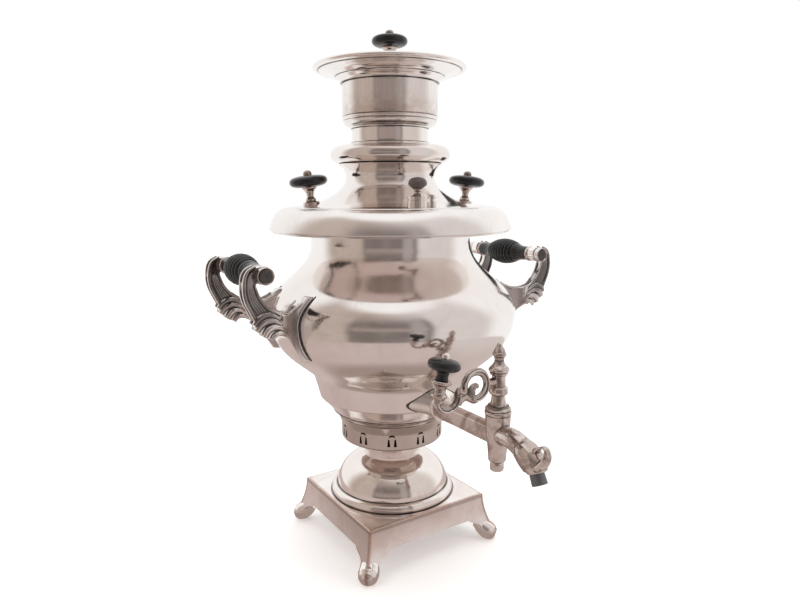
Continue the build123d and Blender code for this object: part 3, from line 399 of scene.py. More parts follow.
def wornNickel():
    paint = newPaint("wornPlate")
    where = paint.place()
    x, y, z = paint.axes(where)
    acrossX, acrossY = abs(x), abs(y)
    out = acrossX.op("MAXIMUM", acrossY)
    rim = out.smooth(*wornSet["rim"]) * z.smooth(*wornSet["rimHigh"])
    corner = abs(acrossX - acrossY).smooth(*wornSet["corner"]) * acrossX.smooth(*wornSet["cornerOut"])
    cloud = paint.noise(where, 32.0, 4.0, 0.62, 0.8).smooth(0.32, 0.7)
    fine = paint.noise(where, 210.0, 4.0, 0.7)
    copper = (rim.op("MAXIMUM", corner) * (0.35 + fine)).clamp()
    away = (x * x + y * y).op("SQRT")
    ring = abs(away - wornSet["ring"]).smooth(*wornSet["ringWidth"]) * z.smooth(*wornSet["ringHigh"])
    line = abs(out - wornSet["line"]).smooth(*wornSet["lineWidth"]) * z.smooth(*wornSet["lineHigh"])
    line = line * z.smooth(*wornSet["lineLow"])
    tint = paint.blend(cloud * 0.8, wornSet["clean"], wornSet["warm"])
    # darkens the ring round the pedestal's foot and the line under the edge
    tint = paint.blend((ring * 0.85 + line * 0.5).clamp(), tint, wornSet["ringAndLineTone"])
    tint = paint.blend(copper * 0.8, tint, wornSet["copper"])
    height = paint.noise(where, 45.0, 2.0) * 0.8 + fine * 0.12
    return paint.finish({
        "Base Color": tint, "Metallic": 1.0, "Roughness": 0.08 + cloud * 0.09 + fine * 0.06 + copper * 0.12,
        "Normal": paint.bump(height, 0.14, 0.0016)})


def clearChoice():
    if bpy.context.object and bpy.context.object.mode != "OBJECT":
        bpy.ops.object.mode_set(mode="OBJECT")
    bpy.ops.object.select_all(action="DESELECT")


def choose(piece):
    clearChoice()
    piece.select_set(True)
    bpy.context.view_layer.objects.active = piece


def editAll(piece):
    choose(piece)
    bpy.ops.object.mode_set(mode="EDIT")
    bpy.ops.mesh.select_all(action="SELECT")


def turnOut(piece):
    # makes every face point outwards
    editAll(piece)
    bpy.ops.mesh.normals_make_consistent(inside=False)
    bpy.ops.object.mode_set(mode="OBJECT")


def smoothBelow(piece, degrees):
    choose(piece)
    bpy.ops.object.shade_smooth_by_angle(angle=math.radians(degrees))


def addModifier(piece, kind, **settings):
    modifier = piece.modifiers.new(kind.lower(), kind)
    for name, value in settings.items():
        setattr(modifier, name, value)
    bpy.context.view_layer.objects.active = piece
    bpy.ops.object.modifier_apply(modifier=modifier.name)


def cutWith(piece, tool, operation):
    # a Boolean whose tool is thrown away
    addModifier(piece, "BOOLEAN", object=tool, operation=operation, solver="EXACT")
    bpy.data.objects.remove(tool)


def bow(start, startTurn, startPull, end, endTurn, endPull):
    # curve between two points, with travel directions in degrees and pulls as shares of the chord
    chord = math.dist(start, end)
    a, b = math.radians(startTurn), math.radians(endTurn)
    first = (start[0] + startPull * chord * math.cos(a), start[1] + startPull * chord * math.sin(a))
    last = (end[0] - endPull * chord * math.cos(b), end[1] - endPull * chord * math.sin(b))
    return [start, first, last, end]


def route(start, *steps, at=(0, 0)):
    # an outline of (radius, height): a step of two numbers is a straight line, and one of six is a curve,
    # with its first direction and pull, the point, and its last direction and pull
    here, pieces = (start[0] + at[0], start[1] + at[1]), []
    for step in steps:
        curved = len(step) == 6
        x, z = step[2:4] if curved else step
        there = (x + at[0], z + at[1])
        pieces.append(bow(here, *step[:2], there, *step[4:]) if curved else [here, there])
        here = there
    return pieces


def drawOutline(outline, fineness):
    # a Bezier curve in the XZ plane through the outline's pieces
    clearChoice()
    bpy.ops.curve.primitive_bezier_curve_add()
    spline = bpy.context.object.data.splines[0]
    closed = math.dist(outline[0][0], outline[-1][-1]) < 1e-6
    spline.bezier_points.add(len(outline) - 1 - closed)
    spline.use_cyclic_u = closed
    spline.resolution_u = fineness
    third = lambda a, b: (a[0] + (b[0] - a[0]) / 3, a[1] + (b[1] - a[1]) / 3)
    to3d = lambda p: (p[0] * mm, 0, p[1] * mm)
    for place, point in enumerate(spline.bezier_points):
        before = outline[place - 1] if place or closed else None
        after = outline[place] if place < len(outline) else None
        point.handle_left_type = point.handle_right_type = "FREE"
        here = after[0] if after else before[-1]
        point.co = to3d(here)
        point.handle_left = to3d((before[2] if len(before) == 4 else third(before[-1], before[0])) if before else here)
        point.handle_right = to3d((after[1] if len(after) == 4 else third(after[0], after[1])) if after else here)
    bpy.ops.object.convert(target="MESH")
    return bpy.context.object


def spun(name, outline, steps, fineness, wall=0.0, edge=0.0):
    # an outline turned about Z; a wall makes it a shell and an edge rounds its corners
    piece = drawOutline(outline, fineness)
    piece.name = piece.data.name = name
    editAll(piece)
    bpy.ops.mesh.spin(steps=steps, angle=2 * math.pi, center=(0, 0, 0), axis=(0, 0, 1))
    bpy.ops.mesh.select_all(action="SELECT")
    bpy.ops.mesh.remove_doubles(threshold=0.01 * mm)
    bpy.ops.mesh.normals_make_consistent(inside=False)
    bpy.ops.object.mode_set(mode="OBJECT")
    if wall:
        addModifier(piece, "SOLIDIFY", thickness=wall * mm, offset=-1.0, use_even_offset=True)
    if edge:
        addModifier(piece, "BEVEL", width=edge * mm, segments=2, limit_method="ANGLE", angle_limit=math.radians(32))
    smoothBelow(piece, 40)
    return piece


def slab(name, outline, low, high, fineness=10):
    # a closed XZ outline with its thickness along Y
    piece = drawOutline(outline, fineness)
    piece.name = piece.data.name = name
    editAll(piece)
    bpy.ops.mesh.remove_doubles(threshold=0.002 * mm)
    bpy.ops.mesh.edge_face_add()
    bpy.ops.mesh.extrude_region_move(TRANSFORM_OT_translate={"value": (0, (high - low) * mm, 0)})
    bpy.ops.mesh.select_all(action="SELECT")
    bpy.ops.transform.translate(value=(0, low * mm, 0))
    bpy.ops.mesh.normals_make_consistent(inside=False)
    bpy.ops.object.mode_set(mode="OBJECT")
    return piece


def drawBar(name, points, radii, fineness):
    # a smooth curve through points, with a radius at each
    clearChoice()
    bpy.ops.curve.primitive_bezier_curve_add()
    bar = bpy.context.object
    bar.name = name
    spline = bar.data.splines[0]
    spline.bezier_points.add(len(points) - 2)
    spline.resolution_u = fineness
    for place, point, radius in zip(spline.bezier_points, points, radii):
        place.co = point
        place.radius = radius
        place.handle_left_type = place.handle_right_type = "AUTO"
    bar.data.use_fill_caps = True
    return bar


def bead(name, points, radii, thick=1.0, fineness=8):
    # a round bar through points
    bar = drawBar(name, [Vector(point) * mm for point in points], radii, fineness)
    bar.data.bevel_depth = thick * mm
    bar.data.bevel_resolution = 12 if thick * max(radii) > 4 else 3
    bpy.ops.object.convert(target="MESH")
    return bpy.context.object


def strip(name, points, wide, thick, swell=None):
    # a band bent along points in the XZ plane, wide across Y
    band = drawBar(name, [(x * mm, 0, z * mm) for x, z in points], swell or [1.0] * len(points), 10)
    bpy.ops.curve.primitive_bezier_circle_add(radius=0.5 * mm)
    section = bpy.context.object
    section.data.transform(Matrix.Diagonal((thick, wide, 1, 1)))
    choose(band)
    band.data.twist_mode = "Z_UP"
    band.data.bevel_mode = "OBJECT"
    band.data.bevel_object = section
    bpy.ops.object.convert(target="MESH")
    bpy.data.objects.remove(section)
    return bpy.context.object


def joined(*parts):
    clearChoice()
    for part in parts:
        part.select_set(True)
    bpy.context.view_layer.objects.active = parts[0]
    bpy.ops.object.join()
    return bpy.context.object


def castTogether(name, parts, voxel, rounds, softness=0.5):
    # one casting from overlapping forms, with its inner corners filled a little
    piece = joined(*parts)
    piece.name = piece.data.name = name
    addModifier(piece, "REMESH", mode="VOXEL", voxel_size=voxel * mm, adaptivity=0.0)
    addModifier(piece, "SMOOTH", factor=softness, iterations=rounds)
    choose(piece)
    bpy.ops.object.shade_smooth()
    return piece


def shift(x, y, z):
    return Matrix.Translation(Vector((x, y, z)) * mm)


def turn(degrees, axis):
    return Matrix.Rotation(math.radians(degrees), 4, axis)


def placeCopy(piece, name):
    copy = piece.copy()
    copy.data = piece.data.copy()
    copy.name = copy.data.name = name
    bpy.context.collection.objects.link(copy)
    return copy


def settle(piece, body, finish, replaced=(), matrix=None):
    # puts a finished piece in its place, in its mesh, and hands it to its body
    choose(piece)
    if matrix is not None:
        piece.matrix_world = matrix
    bpy.ops.object.transform_apply(location=True, rotation=True, scale=True)
    piece.data.materials.clear()
    piece.data.materials.append(finish)
    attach(piece, body)
    if replaced:
        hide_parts(*replaced)
    return piece


def makeTurned(finish, name, info, matrix=None):
    # a turned piece from its dictionary, with the usual values for what it leaves out
    usual = {"steps": 192, "wall": 0, "edge": 0.2, "body": "vessel", "look": "polished", **info}
    piece = spun(name, *(usual[key] for key in ("outline", "steps", "fine", "wall", "edge")))
    settle(piece, usual["body"], finish[usual["look"]], usual["solids"], matrix)


vesselOutline = route((55.4, 127.4), (55.8, 0.47, 67.3, 141, 78, 0.05), (78, 0.3, 71.7, 157.5, 74, 0.3),
                      (86, 0.18, 113.4, 219.5, 90, 0.512), (90, 0.326, 72, 281, 90, 0.359))


def onBow(piece, share):
    rest = 1 - share
    weights = (rest ** 3, 3 * rest * rest * share, 3 * rest * share * share, share ** 3)
    return tuple(sum(w * p[axis] for w, p in zip(weights, piece)) for axis in (0, 1))


def vesselRadius(high):
    # the vessel's outside radius at a height
    piece = next(p for p in vesselOutline if high <= p[-1][1])
    low, top = 0.0, 1.0
    for _ in range(30):
        middle = (low + top) / 2
        low, top = (middle, top) if onBow(piece, middle)[1] < high else (low, middle)
    return onBow(piece, low)[0]


# the pieces turned about the main axis, from the vessel up and then the pedestal
shellSet = {
    "vesselShell": {"solids": ["body_heel", "body_belly", "body_shoulder"], "fine": 16, "wall": 1.4, "edge": 0.25,
        "outline": route((36.5, 127.4), (55.4, 127.4)) + vesselOutline + route((72, 281), (72, 291))},
    "mouthRing": {"look": "brim", "solids": ["drip_ring"], "fine": 14, "wall": 1.2, "outline": route((106.8, 292.4),
        (30, 0.4, 108.3, 293.6, 96, 0.4), (104, 0.34, 91, 312.3, 180, 0.36), (180, 0.3, 88.25, 311.4, 262, 0.3),
        (88.2, 309.6), (76, 309.6), (76, 292.4))},
    "mouthUnderside": {"solids": ["drip_plate"], "fine": 2, "outline": route((70.7, 291.05), (106.3, 291.05),
        (106.3, 292.35), (70.7, 292.35), (70.7, 291.05))},
    "lidBell": {"body": "lid", "solids": ["lid_bell"], "fine": 16, "wall": 1.35, "outline": route((87.8, 309.8),
        (87.8, 311.2), (120, 0.4, 87.0, 311.75, 181, 0.4), (181.9, 0.357, 38, 338.6, 90, 0.27),
        (90, 0.367, 45.4, 350.4, 30, 0.337))},
    "lidCollar": {"body": "lid", "look": "warm", "solids": ["lid_collar"], "steps": 160, "fine": 16, "wall": 1.3,
        "outline": route((45.4, 350.5), (20, 0.35, 52.9, 357.36, 90, 0.42), (90, 0.42, 43.8, 365.7, 172, 0.4),
        (32.3, 365.95))},
    "crownNeck": {"body": "crown", "solids": ["crown_neck"], "steps": 144, "fine": 6, "wall": 1.35, "outline": route(
        (35.0, 366.2), (35.0, 367.9), (100, 0.4, 33.6, 368.6, 178, 0.4), (33.6, 380.0))},
    "crownCylinder": {"body": "crown", "look": "satin", "solids": ["crown_cylinder"], "steps": 160, "fine": 12,
        "wall": 1.35, "outline": route((24, 380.0), (34.4, 380.0), (34.7, 381.3), (36.2, 381.9),
        (8, 0.4, 41.1, 386.7, 82, 0.4), (41.0, 387.2), (15, 0.5, 41.0, 390.2, 165, 0.5), (41.2, 390.6), (41.9, 391.2),
        (41.9, 418.15))},
    "crownFlange": {"body": "crown", "solids": ["crown_flange"], "fine": 10, "wall": 1.2, "outline": route(
        (42.0, 418.25), (43.4, 418.3), (43.4, 419.6), (60, 0.3, 47.2, 422.6, 30, 0.4), (48.2, 423.9),
        (40, 0.35, 62.4, 428.4, 8, 0.4), (80, 0.3, 63.0, 429.0, 20, 0.3), (20, 0.35, 66.9, 430.8, 80, 0.35),
        (96, 0.35, 64.7, 432.9, 172, 0.4), (45.2, 432.9), (45.2, 431.25), (39.0, 431.25))},
    "damperDisc": {"body": "damper", "solids": ["damper_disc"], "steps": 128, "fine": 4, "outline": route((0, 431.55),
        (44.8, 431.55), (44.8, 432.75), (150, 0.3, 42, 432.9, 180, 0.3), (0, 432.9))},
    "pedestalBell": {"look": "foot", "solids": ["pedestal_bell"], "steps": 160, "fine": 16, "wall": 1.35, "edge": 0.3,
        "outline": route((51, 44.5), (51, 51.4), (90, 0.02, 25.6, 80, 161, 0.735), (96, 0.3, 30, 98.15, 66, 0.3))},
    "pedestalFootRing": {"look": "foot", "solids": ["foot_ring"], "steps": 160, "fine": 8, "edge": 0.25,
        "outline": route((51.1, 44.45), (57.7, 44.45), (57.9, 46.3), (90, 0.4, 51.7, 51.9, 176, 0.45), (51.1, 51.8),
        (51.1, 44.45))},
}


def makeShells(finish):
    for name, info in shellSet.items():
        makeTurned(finish, name, info)
    print("shells made")


# the ring with the air holes: in each set two leaning slots with an arch above them
ventSet = {
    "outline": route((0.0, 98.2), (44.6, 98.2), (12, 0.4, 47.5, 100.8, 90, 0.4), (47.5, 113),
        (90, 0.05, 50.9, 121.2, 62, 0.3), (150, 0.4, 51.6, 122.6, 40, 0.4), (62, 0.3, 55.3, 126.2, 24, 0.3),
        (55.3, 127.35)),
    "steps": 176, "fine": 8, "wall": 1.4, "edge": 0.25, "sets": 11, "turn": 0.5, "spread": 2.9,
    "low": 102.9, "lowWidth": 2.7, "high": 109.8, "highWidth": 1.3,
    "arch": route((2.8, 111.4), (80, 0.35, 0, 114.0, 180, 0.4), (180, 0.4, -2.8, 111.4, 280, 0.35),
        (20, 0.3, 0, 112.2, 0, 0.3), (0, 0.3, 2.8, 111.4, -20, 0.3)),
    "cut": (-52, -42),
}


def makeHoleCutter():
    low = (ventSet["spread"] - ventSet["lowWidth"] / 2, ventSet["low"])
    high = (ventSet["spread"] - ventSet["highWidth"] / 2, ventSet["high"])
    slot = route(low, (low[0] + ventSet["lowWidth"], low[1]), (high[0] + ventSet["highWidth"], high[1]), high, low)
    other = [[(-x, z) for x, z in pair] for pair in slot]
    bars = []
    for outline in (slot, other, ventSet["arch"]):
        bars.append(slab("bar", outline, *ventSet["cut"], 6))
    copies = []
    for count in range(ventSet["sets"]):
        for bar in bars:
            copy = placeCopy(bar, "hole")
            copy.data.transform(turn(ventSet["turn"] + 360 / ventSet["sets"] * count, "Z"))
            copies.append(copy)
    for bar in bars:
        bpy.data.objects.remove(bar)
    return joined(*copies)


def makeVentRing(finish):
    ring = spun("ventRing", *(ventSet[key] for key in ("outline", "steps", "fine", "wall", "edge")))
    cutWith(ring, makeHoleCutter(), "DIFFERENCE")
    smoothBelow(ring, 35)
    settle(ring, "vessel", finish["agedAndShaded"], ["vent_ring"])
    print("vent ring made")


# lid and damper knobs, each on its stem with a domed nut; "place" is their distance from the axis on the lid
knobSet = {
    "radius": 16.4, "height": 10.8, "stem": 16.0, "nut": (3.7, 3.8), "nutHigh": 10.7,
    "place": 71.3, "turn": -16.4, "lean": 6.5, "onLid": 313.9, "onDamper": 432.9, "damperShare": 0.95,
    "stemOutline": route((0, 0.05), (6.4, 0.05), (7.2, 0.7), (7.2, 3.0), (6.5, 3.6), (180, 0.3, 4.4, 3.9, 110, 0.3),
        (60, 0.4, 4.4, 6.0, 120, 0.4), (120, 0.3, 3.0, 8.4, 92, 0.4), (88, 0.5, 6.2, 14.6, 40, 0.3), (6.6, 15.1),
        (6.6, 15.95), (0, 15.95)),
}
steamSet = {
    "foot": (-17.29, -67.83, 313.73), "body": "vent_flap", "look": "steamBrown", "solids": ["vent_cap_knob"],
    "steps": 72, "fine": 10, "edge": 0,
    "outline": route((0, 13.7), (3.3, 13.7), (60, 0.35, 7.5, 18.4, 86, 0.4), (92, 0.4, 2.0, 23.3, 172, 0.45),
        (175, 0.3, 0, 23.5, 180, 0.3)),
}


def knobOutline(radius, height, low):
    # a flat round knob with a dimple for its nut
    return route((0, 0), (0.42 * radius, 0), (5, 0.4, radius, 0.46 * height, 90, 0.36),
                 (90, 0.36, 0.30 * radius, 0.95 * height, 174, 0.42), (250, 0.3, 0.24 * radius, 0.9 * height, 180, 0.3),
                 (0, 0.9 * height), at=(0, low))


def nutOutline(radius, height, low):
    return route((0, -0.8), (radius, -0.8), (radius, 0.3 * height), (90, 0.35, 0, height, 180, 0.4), at=(0, low))


def makeKnobs(finish):
    stem, lean = knobSet["stem"], math.radians(knobSet["turn"])
    spots = [("Damper", shift(0, 0, knobSet["onDamper"]), "damper", knobSet["damperShare"],
              ("damper_stem", "damper_knob", "damper_nut"))]
    for name, side in (("Right", 1), ("Left", -1)):
        foot = (side * knobSet["place"] * math.cos(lean), side * knobSet["place"] * math.sin(lean), knobSet["onLid"])
        matrix = shift(*foot) @ turn(knobSet["turn"], "Z") @ turn(side * knobSet["lean"], "Y")
        solids = [f"lid_knob_{part}{name.lower()}" for part in ("stem_", "", "nut_")]
        spots.insert(0, (name, matrix, "lid", 1.0, solids))
    for name, matrix, body, share, solids in spots:
        knob = knobOutline(knobSet["radius"] * share, knobSet["height"], stem)
        nut = nutOutline(*knobSet["nut"], stem + knobSet["nutHigh"])
        settle(spun("stem" + name, knobSet["stemOutline"], 64, 8, edge=0.15), body, finish["cast"], solids[:1], matrix)
        settle(spun("knob" + name, knob, 96, 12, edge=0.2), body, finish["black"], solids[1:2], matrix)
        settle(spun("knobNut" + name, nut, 48, 8, edge=0.15), body, finish["darkCast"], solids[2:], matrix)
    makeTurned(finish, "steamKnob", steamSet, shift(*steamSet["foot"]))
    print("knobs made")


# grips with ringed middles, at "place" from the axis and lying along Y
gripSet = {"place": 140.4, "high": 265.0, "half": 34.0, "bore": 3.1, "radius": 12.8, "end": 6.6,
           "swell": 25, "grooves": 9, "pitch": 3.8, "deep": 1.3}
# metal at the grips' ends, as outlines from the middle of the grip outwards
cupSet = {
    "ferrules": {"look": "cast", "outline": route((3.2, 34.1), (6.6, 34.1), (20, 0.4, 7.4, 35.6, 92, 0.4),
        (92, 0.4, 6.9, 37.3, 120, 0.4), (6.2, 38.5), (3.2, 38.5), (3.2, 34.1))},
    "caps": {"look": "bright", "outline": route((3.2, 46.3), (5.8, 46.3), (10, 0.4, 6.7, 47.4, 90, 0.4), (6.7, 51.4),
        (92, 0.4, 6.2, 52.2, 175, 0.4), (5.4, 51.2), (0, 51.2), (0, 50.9), (3.2, 50.9), (3.2, 46.3))},
    "capFaces": {"look": "capFace", "slot": "nickel_cast", "outline": route((0, 51.25), (5.25, 51.25), (5.1, 51.55),
        (160, 0.3, 1.5, 51.8, 178, 0.4), (1.1, 51.6), (0, 51.6))},
}
# a cast bracket: its side view from the grip's axis, its plan, and the flutes, leaves and edges that stand on it
bracketSet = {
    "outer": 46.2, "inner": 38.6, "fanOuter": 33.5, "fanInner": 20.0, "fanStart": 128.0, "fanEnd": 106.0,
    "voxel": 0.42,
    "side": ((1, 7.0), (-5, 0.35, 15.3, -8.5, -90, 0.45), (-90, 0.3, 6.8, -35, -112, 0.35),
        (-60, 0.4, 0.6, -45, -175, 0.4), (-100, 0.4, -8.2, -47.6, 165, 0.5), (150, 0.3, -20.4, -51.5, -135, 0.35),
        (-125, 0.3, -36, -75, -118, 0.3), (-60, -75), (-60, -22), (-41, -22), (-40, 0.35, -22.1, -31.9, 0, 0.45),
        (0, 0.45, 2.1, -18.3, 52, 0.4), (48, 0.35, 5.4, -5.6, 118, 0.35), (150, 0.3, -7.0, 0, 90, 0.5),
        (90, 0.5, 1, 7.0, -5, 0.45)),
    "boss": route((0, 38.3), (6.0, 38.3), (6.9, 39.2), (6.9, 45.6), (6.2, 46.4), (0, 46.4)),
    "flutes": (0.02, 0.17, 0.31, 0.45, 0.59, 0.73, 0.87, 0.98),
    "arm": (((146.0, 272.8), (146.6, 259.8)), ((152.6, 268.2), (147.0, 258.2)), ((155.4, 258.0), (145.8, 253.6)),
        ((154.6, 247.5), (142.8, 247.0)), ((150.6, 238.0), (138.4, 241.6)), ((147.0, 230.6), (133.0, 236.4))),
    "leaves": ((((149.0, 228.5), (144.5, 233.5), (136.5, 235.3), (128.5, 231.5)), 2.5),
        (((147.4, 224.0), (142.5, 229.4), (135.0, 231.0), (127.0, 227.0)), 2.7),
        (((141.5, 218.6), (137.6, 224.2), (131.4, 225.6), (123.5, 221.0)), 2.5),
        (((135.6, 215.8), (132.4, 219.4), (127.6, 220.4), (121.5, 216.4)), 2.0)),
    "leafBend": (0.0, 0.9, 1.1, 0.2),
    "ridge": ((-36, -25.6), (-31, -28.8), (-22.1, -31.8), (-12, -29.8), (-3.0, -23.6)),
    "lip": (193.5, 200, 208, 216, 224, 232, 238, 242.2),
    # heights of the painted shadow line past the fan's edge
    "shade": (191.5, 200, 208, 216, 224, 232, 238, 243.5),
}


def gripOutline():
    half, bore, end, swell = (gripSet[key] for key in ("half", "bore", "end", "swell"))
    count = 2 * gripSet["grooves"]
    rings = []
    for n in range(count + 1):
        high = (n - count / 2) / 2 * gripSet["pitch"]
        fall = (gripSet["radius"] - end) * (abs(high) / swell) ** 2 * 1.3
        rings.append((gripSet["radius"] - fall - (gripSet["deep"] if n % 2 else 0), high))
    steps = [(end, -half), (89, 0.3, end + 0.3, -swell, 88, 0.3), (84, 0.35, *rings[0], 62, 0.3)]
    for a, b in zip(rings[:-1], rings[1:]):
        rising = b[0] > a[0]
        steps.append((30 if rising else 108, 0.4, *b, 84 if rising else 150, 0.4))
    steps += [(118, 0.3, end + 0.3, swell, 96, 0.35), (92, 0.3, end, half, 91, 0.3), (bore, half), (bore, -half)]
    return route((bore, -half), *steps)


def planPlace(x, outside=True):
    # how far out the casting's face lies at this distance from the vessel's axis
    share = min(max((bracketSet["fanStart"] - x) / (bracketSet["fanStart"] - bracketSet["fanEnd"]), 0), 1)
    share = share * share * (3 - 2 * share)
    far, near = ("outer", "fanOuter") if outside else ("inner", "fanInner")
    return bracketSet[far] + (bracketSet[near] - bracketSet[far]) * share


def fanEdge(heights, past, lift, inwards=0.0):
    # points up the vessel's side, past the fan's outer face
    far = bracketSet["fanOuter"] + past
    return [(math.sqrt(vesselRadius(high) ** 2 - far ** 2) + lift, -far + inwards, high) for high in heights]


def makeBracket():
    x, z = gripSet["place"], gripSet["high"]
    outer, inner, far, near, start, end = (
        bracketSet[key] for key in ("outer", "inner", "fanOuter", "fanInner", "fanStart", "fanEnd"))
    sideOn = slab("bracketSide", route(*bracketSet["side"], at=(x, z)), -60, -10)
    plan = route((x + 20, outer), (start, outer), (180, 0.4, end, far, 182, 0.4), (80, far), (80, near), (92, near),
                 (25, 0.35, start, inner, 0, 0.4), (x + 20, inner), (x + 20, outer))
    fromAbove = slab("bracketPlan", plan, 0, 400)
    fromAbove.data.transform(turn(90, "X"))
    cutWith(sideOn, fromAbove, "INTERSECT")
    forms = [sideOn]
    between = lambda a, b, s: (a[0] + (b[0] - a[0]) * s, a[1] + (b[1] - a[1]) * s)
    for outside, sign in ((True, 1), (False, -1)):
        face = lambda px: -(planPlace(px, outside) - sign * 0.3)
        for share in bracketSet["flutes"]:
            path = [between(a, b, share) for a, b in bracketSet["arm"]]
            size = 1.6 if share < 0.1 else 1.2 if share > 0.9 else 0.62
            forms.append(bead("flute", [(px, face(px), pz) for px, pz in path], [0.5, 0.9] + [1.0] * 4, size, 6))
        for path, size in bracketSet["leaves"]:
            points = [(px, face(px) - sign * lift * 0.6, pz) for (px, pz), lift in zip(path, bracketSet["leafBend"])]
            forms.append(bead("leafFold", points, [0.75, 1.0, 0.9, 0.4], size))
    for outside, sign in ((True, 1), (False, -1)):
        ridge = [(x + px, -(planPlace(x + px, outside) - sign * 0.7), z + pz) for px, pz in bracketSet["ridge"]]
        forms.append(bead("ridge", ridge, [0.9, 1, 1, 1, 0.7], 1.1))
    forms.append(bead("fanLip", fanEdge(bracketSet["lip"], 0, 0.5, 0.1), [0.8] + [1] * 6 + [0.9], 1.15))
    boss = spun("boss", bracketSet["boss"], 48, 2)
    boss.data.transform(shift(x, 0, z) @ turn(90, "X"))
    return castTogether("bracket", forms + [boss], bracketSet["voxel"], 2)


def makeHandles(finish):
    bracket = makeBracket()
    # a black bead just past each fan's outer edge on the vessel, a painted shadow line
    shade = bead("fanShade", fanEdge(bracketSet["shade"], 1.5, 0.15), [0.6] + [1] * 6 + [0.6], 0.8)
    for name, side in (("Right", 1), ("Left", -1)):
        lay = shift(side * gripSet["place"], 0, gripSet["high"]) @ turn(90, "X")
        low = name.lower()
        settle(spun("grip" + name, gripOutline(), 96, 4), "vessel", finish["black"], [f"handle_grip_{low}"], lay)
        for piece, info in cupSet.items():
            one = spun(piece + name, info["outline"], 64, 6, edge=0.15)
            other = placeCopy(one, piece + "Far")
            other.data.transform(turn(180, "X"))
            slot = info.get("slot")
            solids = [] if slot else [f"handle_{piece}_{low}"]
            settle(joined(one, other), "vessel", finish[info["look"]], solids, lay)
        for where, far in (("front", 1), ("back", -1)):
            solids = [f"handle_bracket_{low}_{where}"]
            for form, called, look, stands, slot in ((bracket, "bracket", "arm", solids, None),
                                                     (shade, "fanShade", "sootAndShadow", [], "nickel_cast")):
                copy = placeCopy(form, called + name + where.capitalize())
                copy.data.transform(Matrix.Diagonal((side, far, 1, 1)))
                if side * far < 0:
                    turnOut(copy)
                settle(copy, "vessel", finish[look], stands)
    bpy.data.objects.remove(bracket)
    bpy.data.objects.remove(shade)
    print("handles made")


# the tap's casting on its plug's axis: pipe, housing, spout and leaf-shaped cast lip
tapSet = {
    "axis": 149.0, "pipe": 144.4, "pipeStart": 79.8, "halfWide": 4.6, "halfTall": 8.0, "flat": 2.3, "voxel": 0.45,
    "housing": route((0, 124.7), (6.2, 124.7), (6.7, 125.3), (88, 0.3, 9.5, 157.5, 88, 0.3), (9.6, 161.6),
        (45, 0.4, 9.6, 164.7, 135, 0.4), (0, 164.7)),
    "spout": ((150, 146.4, 7.2), (160, 147.2, 7.7), (168, 146.4, 7.9), (176, 143.4, 8.2), (182.5, 139.0, 8.2),
        (187, 134.6, 7.6), (189.4, 131.4, 6.6)),
    "bud": ((175.6, 143.4, 8.6), (179.5, 141.8, 9.4), (183.5, 139.4, 9.6), (187.4, 136.0, 9.1), (190.2, 132.8, 8.0),
        (191.0, 130.9, 7.4)),
    "leaf": ((186.6, 143.4, 2.4), (190.6, 147.6, 1.5), (194.6, 150.6, 1.1), (198.0, 151.0, 1.2), (199.6, 147.8, 1.7),
        (198.9, 143.2, 2.3), (196.4, 138.8, 2.9), (192.6, 135.0, 3.4)),
    "leafWide": 2.1,
    "budEdge": ((0.6, 173.4, 152.4, 0.7), (5.6, 174.2, 149.2, 0.9), (9.0, 176.0, 143.2, 0.9),
        (8.8, 180.2, 136.8, 0.9), (7.0, 185.4, 130.6, 0.7)),
}
nozzleSet = {
    "place": (0, -189.81, 131.39), "lean": 64.0, "look": "nozzle", "solids": ["tap_nozzle"], "steps": 64, "fine": 4,
    "edge": 0.15,
    "outline": route((4.0, -3.6), (4.9, -3.6), (4.9, 0), (5.4, 0.1), (5.75, 9.3), (95, 0.4, 5.3, 9.6, 180, 0.4),
        (4.1, 9.5), (4.0, -3.6)),
}


def makeCasting(finish):
    wide, tall, flat = tapSet["halfWide"], tapSet["halfTall"], tapSet["flat"]
    corners = [(wide - flat, tall), (wide, tall - flat), (wide, flat - tall), (wide - flat, -tall),
               (flat - wide, -tall), (-wide, flat - tall), (-wide, tall - flat), (flat - wide, tall),
               (wide - flat, tall)]
    pipe = slab("pipe", route(*corners), tapSet["pipeStart"], tapSet["axis"], 1)
    pipe.data.transform(shift(0, 0, tapSet["pipe"]) @ Matrix.Diagonal((1, -1, 1, 1)))
    turnOut(pipe)
    housing = spun("housing", tapSet["housing"], 72, 8)
    housing.data.transform(shift(0, -tapSet["axis"], 0))
    forms = [pipe, housing]
    for name, fineness in (("spout", 8), ("bud", 10), ("leaf", 10)):
        forms.append(bead(name, [(0, -out, high) for out, high, size in tapSet[name]],
                          [size for out, high, size in tapSet[name]], 1.0, fineness))
    forms[-1].data.transform(Matrix.Diagonal((tapSet["leafWide"], 1, 1, 1)))
    for side in (-1, 1):
        forms.append(bead("budEdge", [(side * across, -out, high) for across, out, high, size in tapSet["budEdge"]],
                          [spot[-1] for spot in tapSet["budEdge"]], 0.7))
    settle(castTogether("tapCasting", forms, tapSet["voxel"], 5), "vessel", finish["plug"], ["tap_body"])
    makeTurned(finish, "nozzleTube", nozzleSet, shift(*nozzleSet["place"]) @ turn(90 + nozzleSet["lean"], "X"))


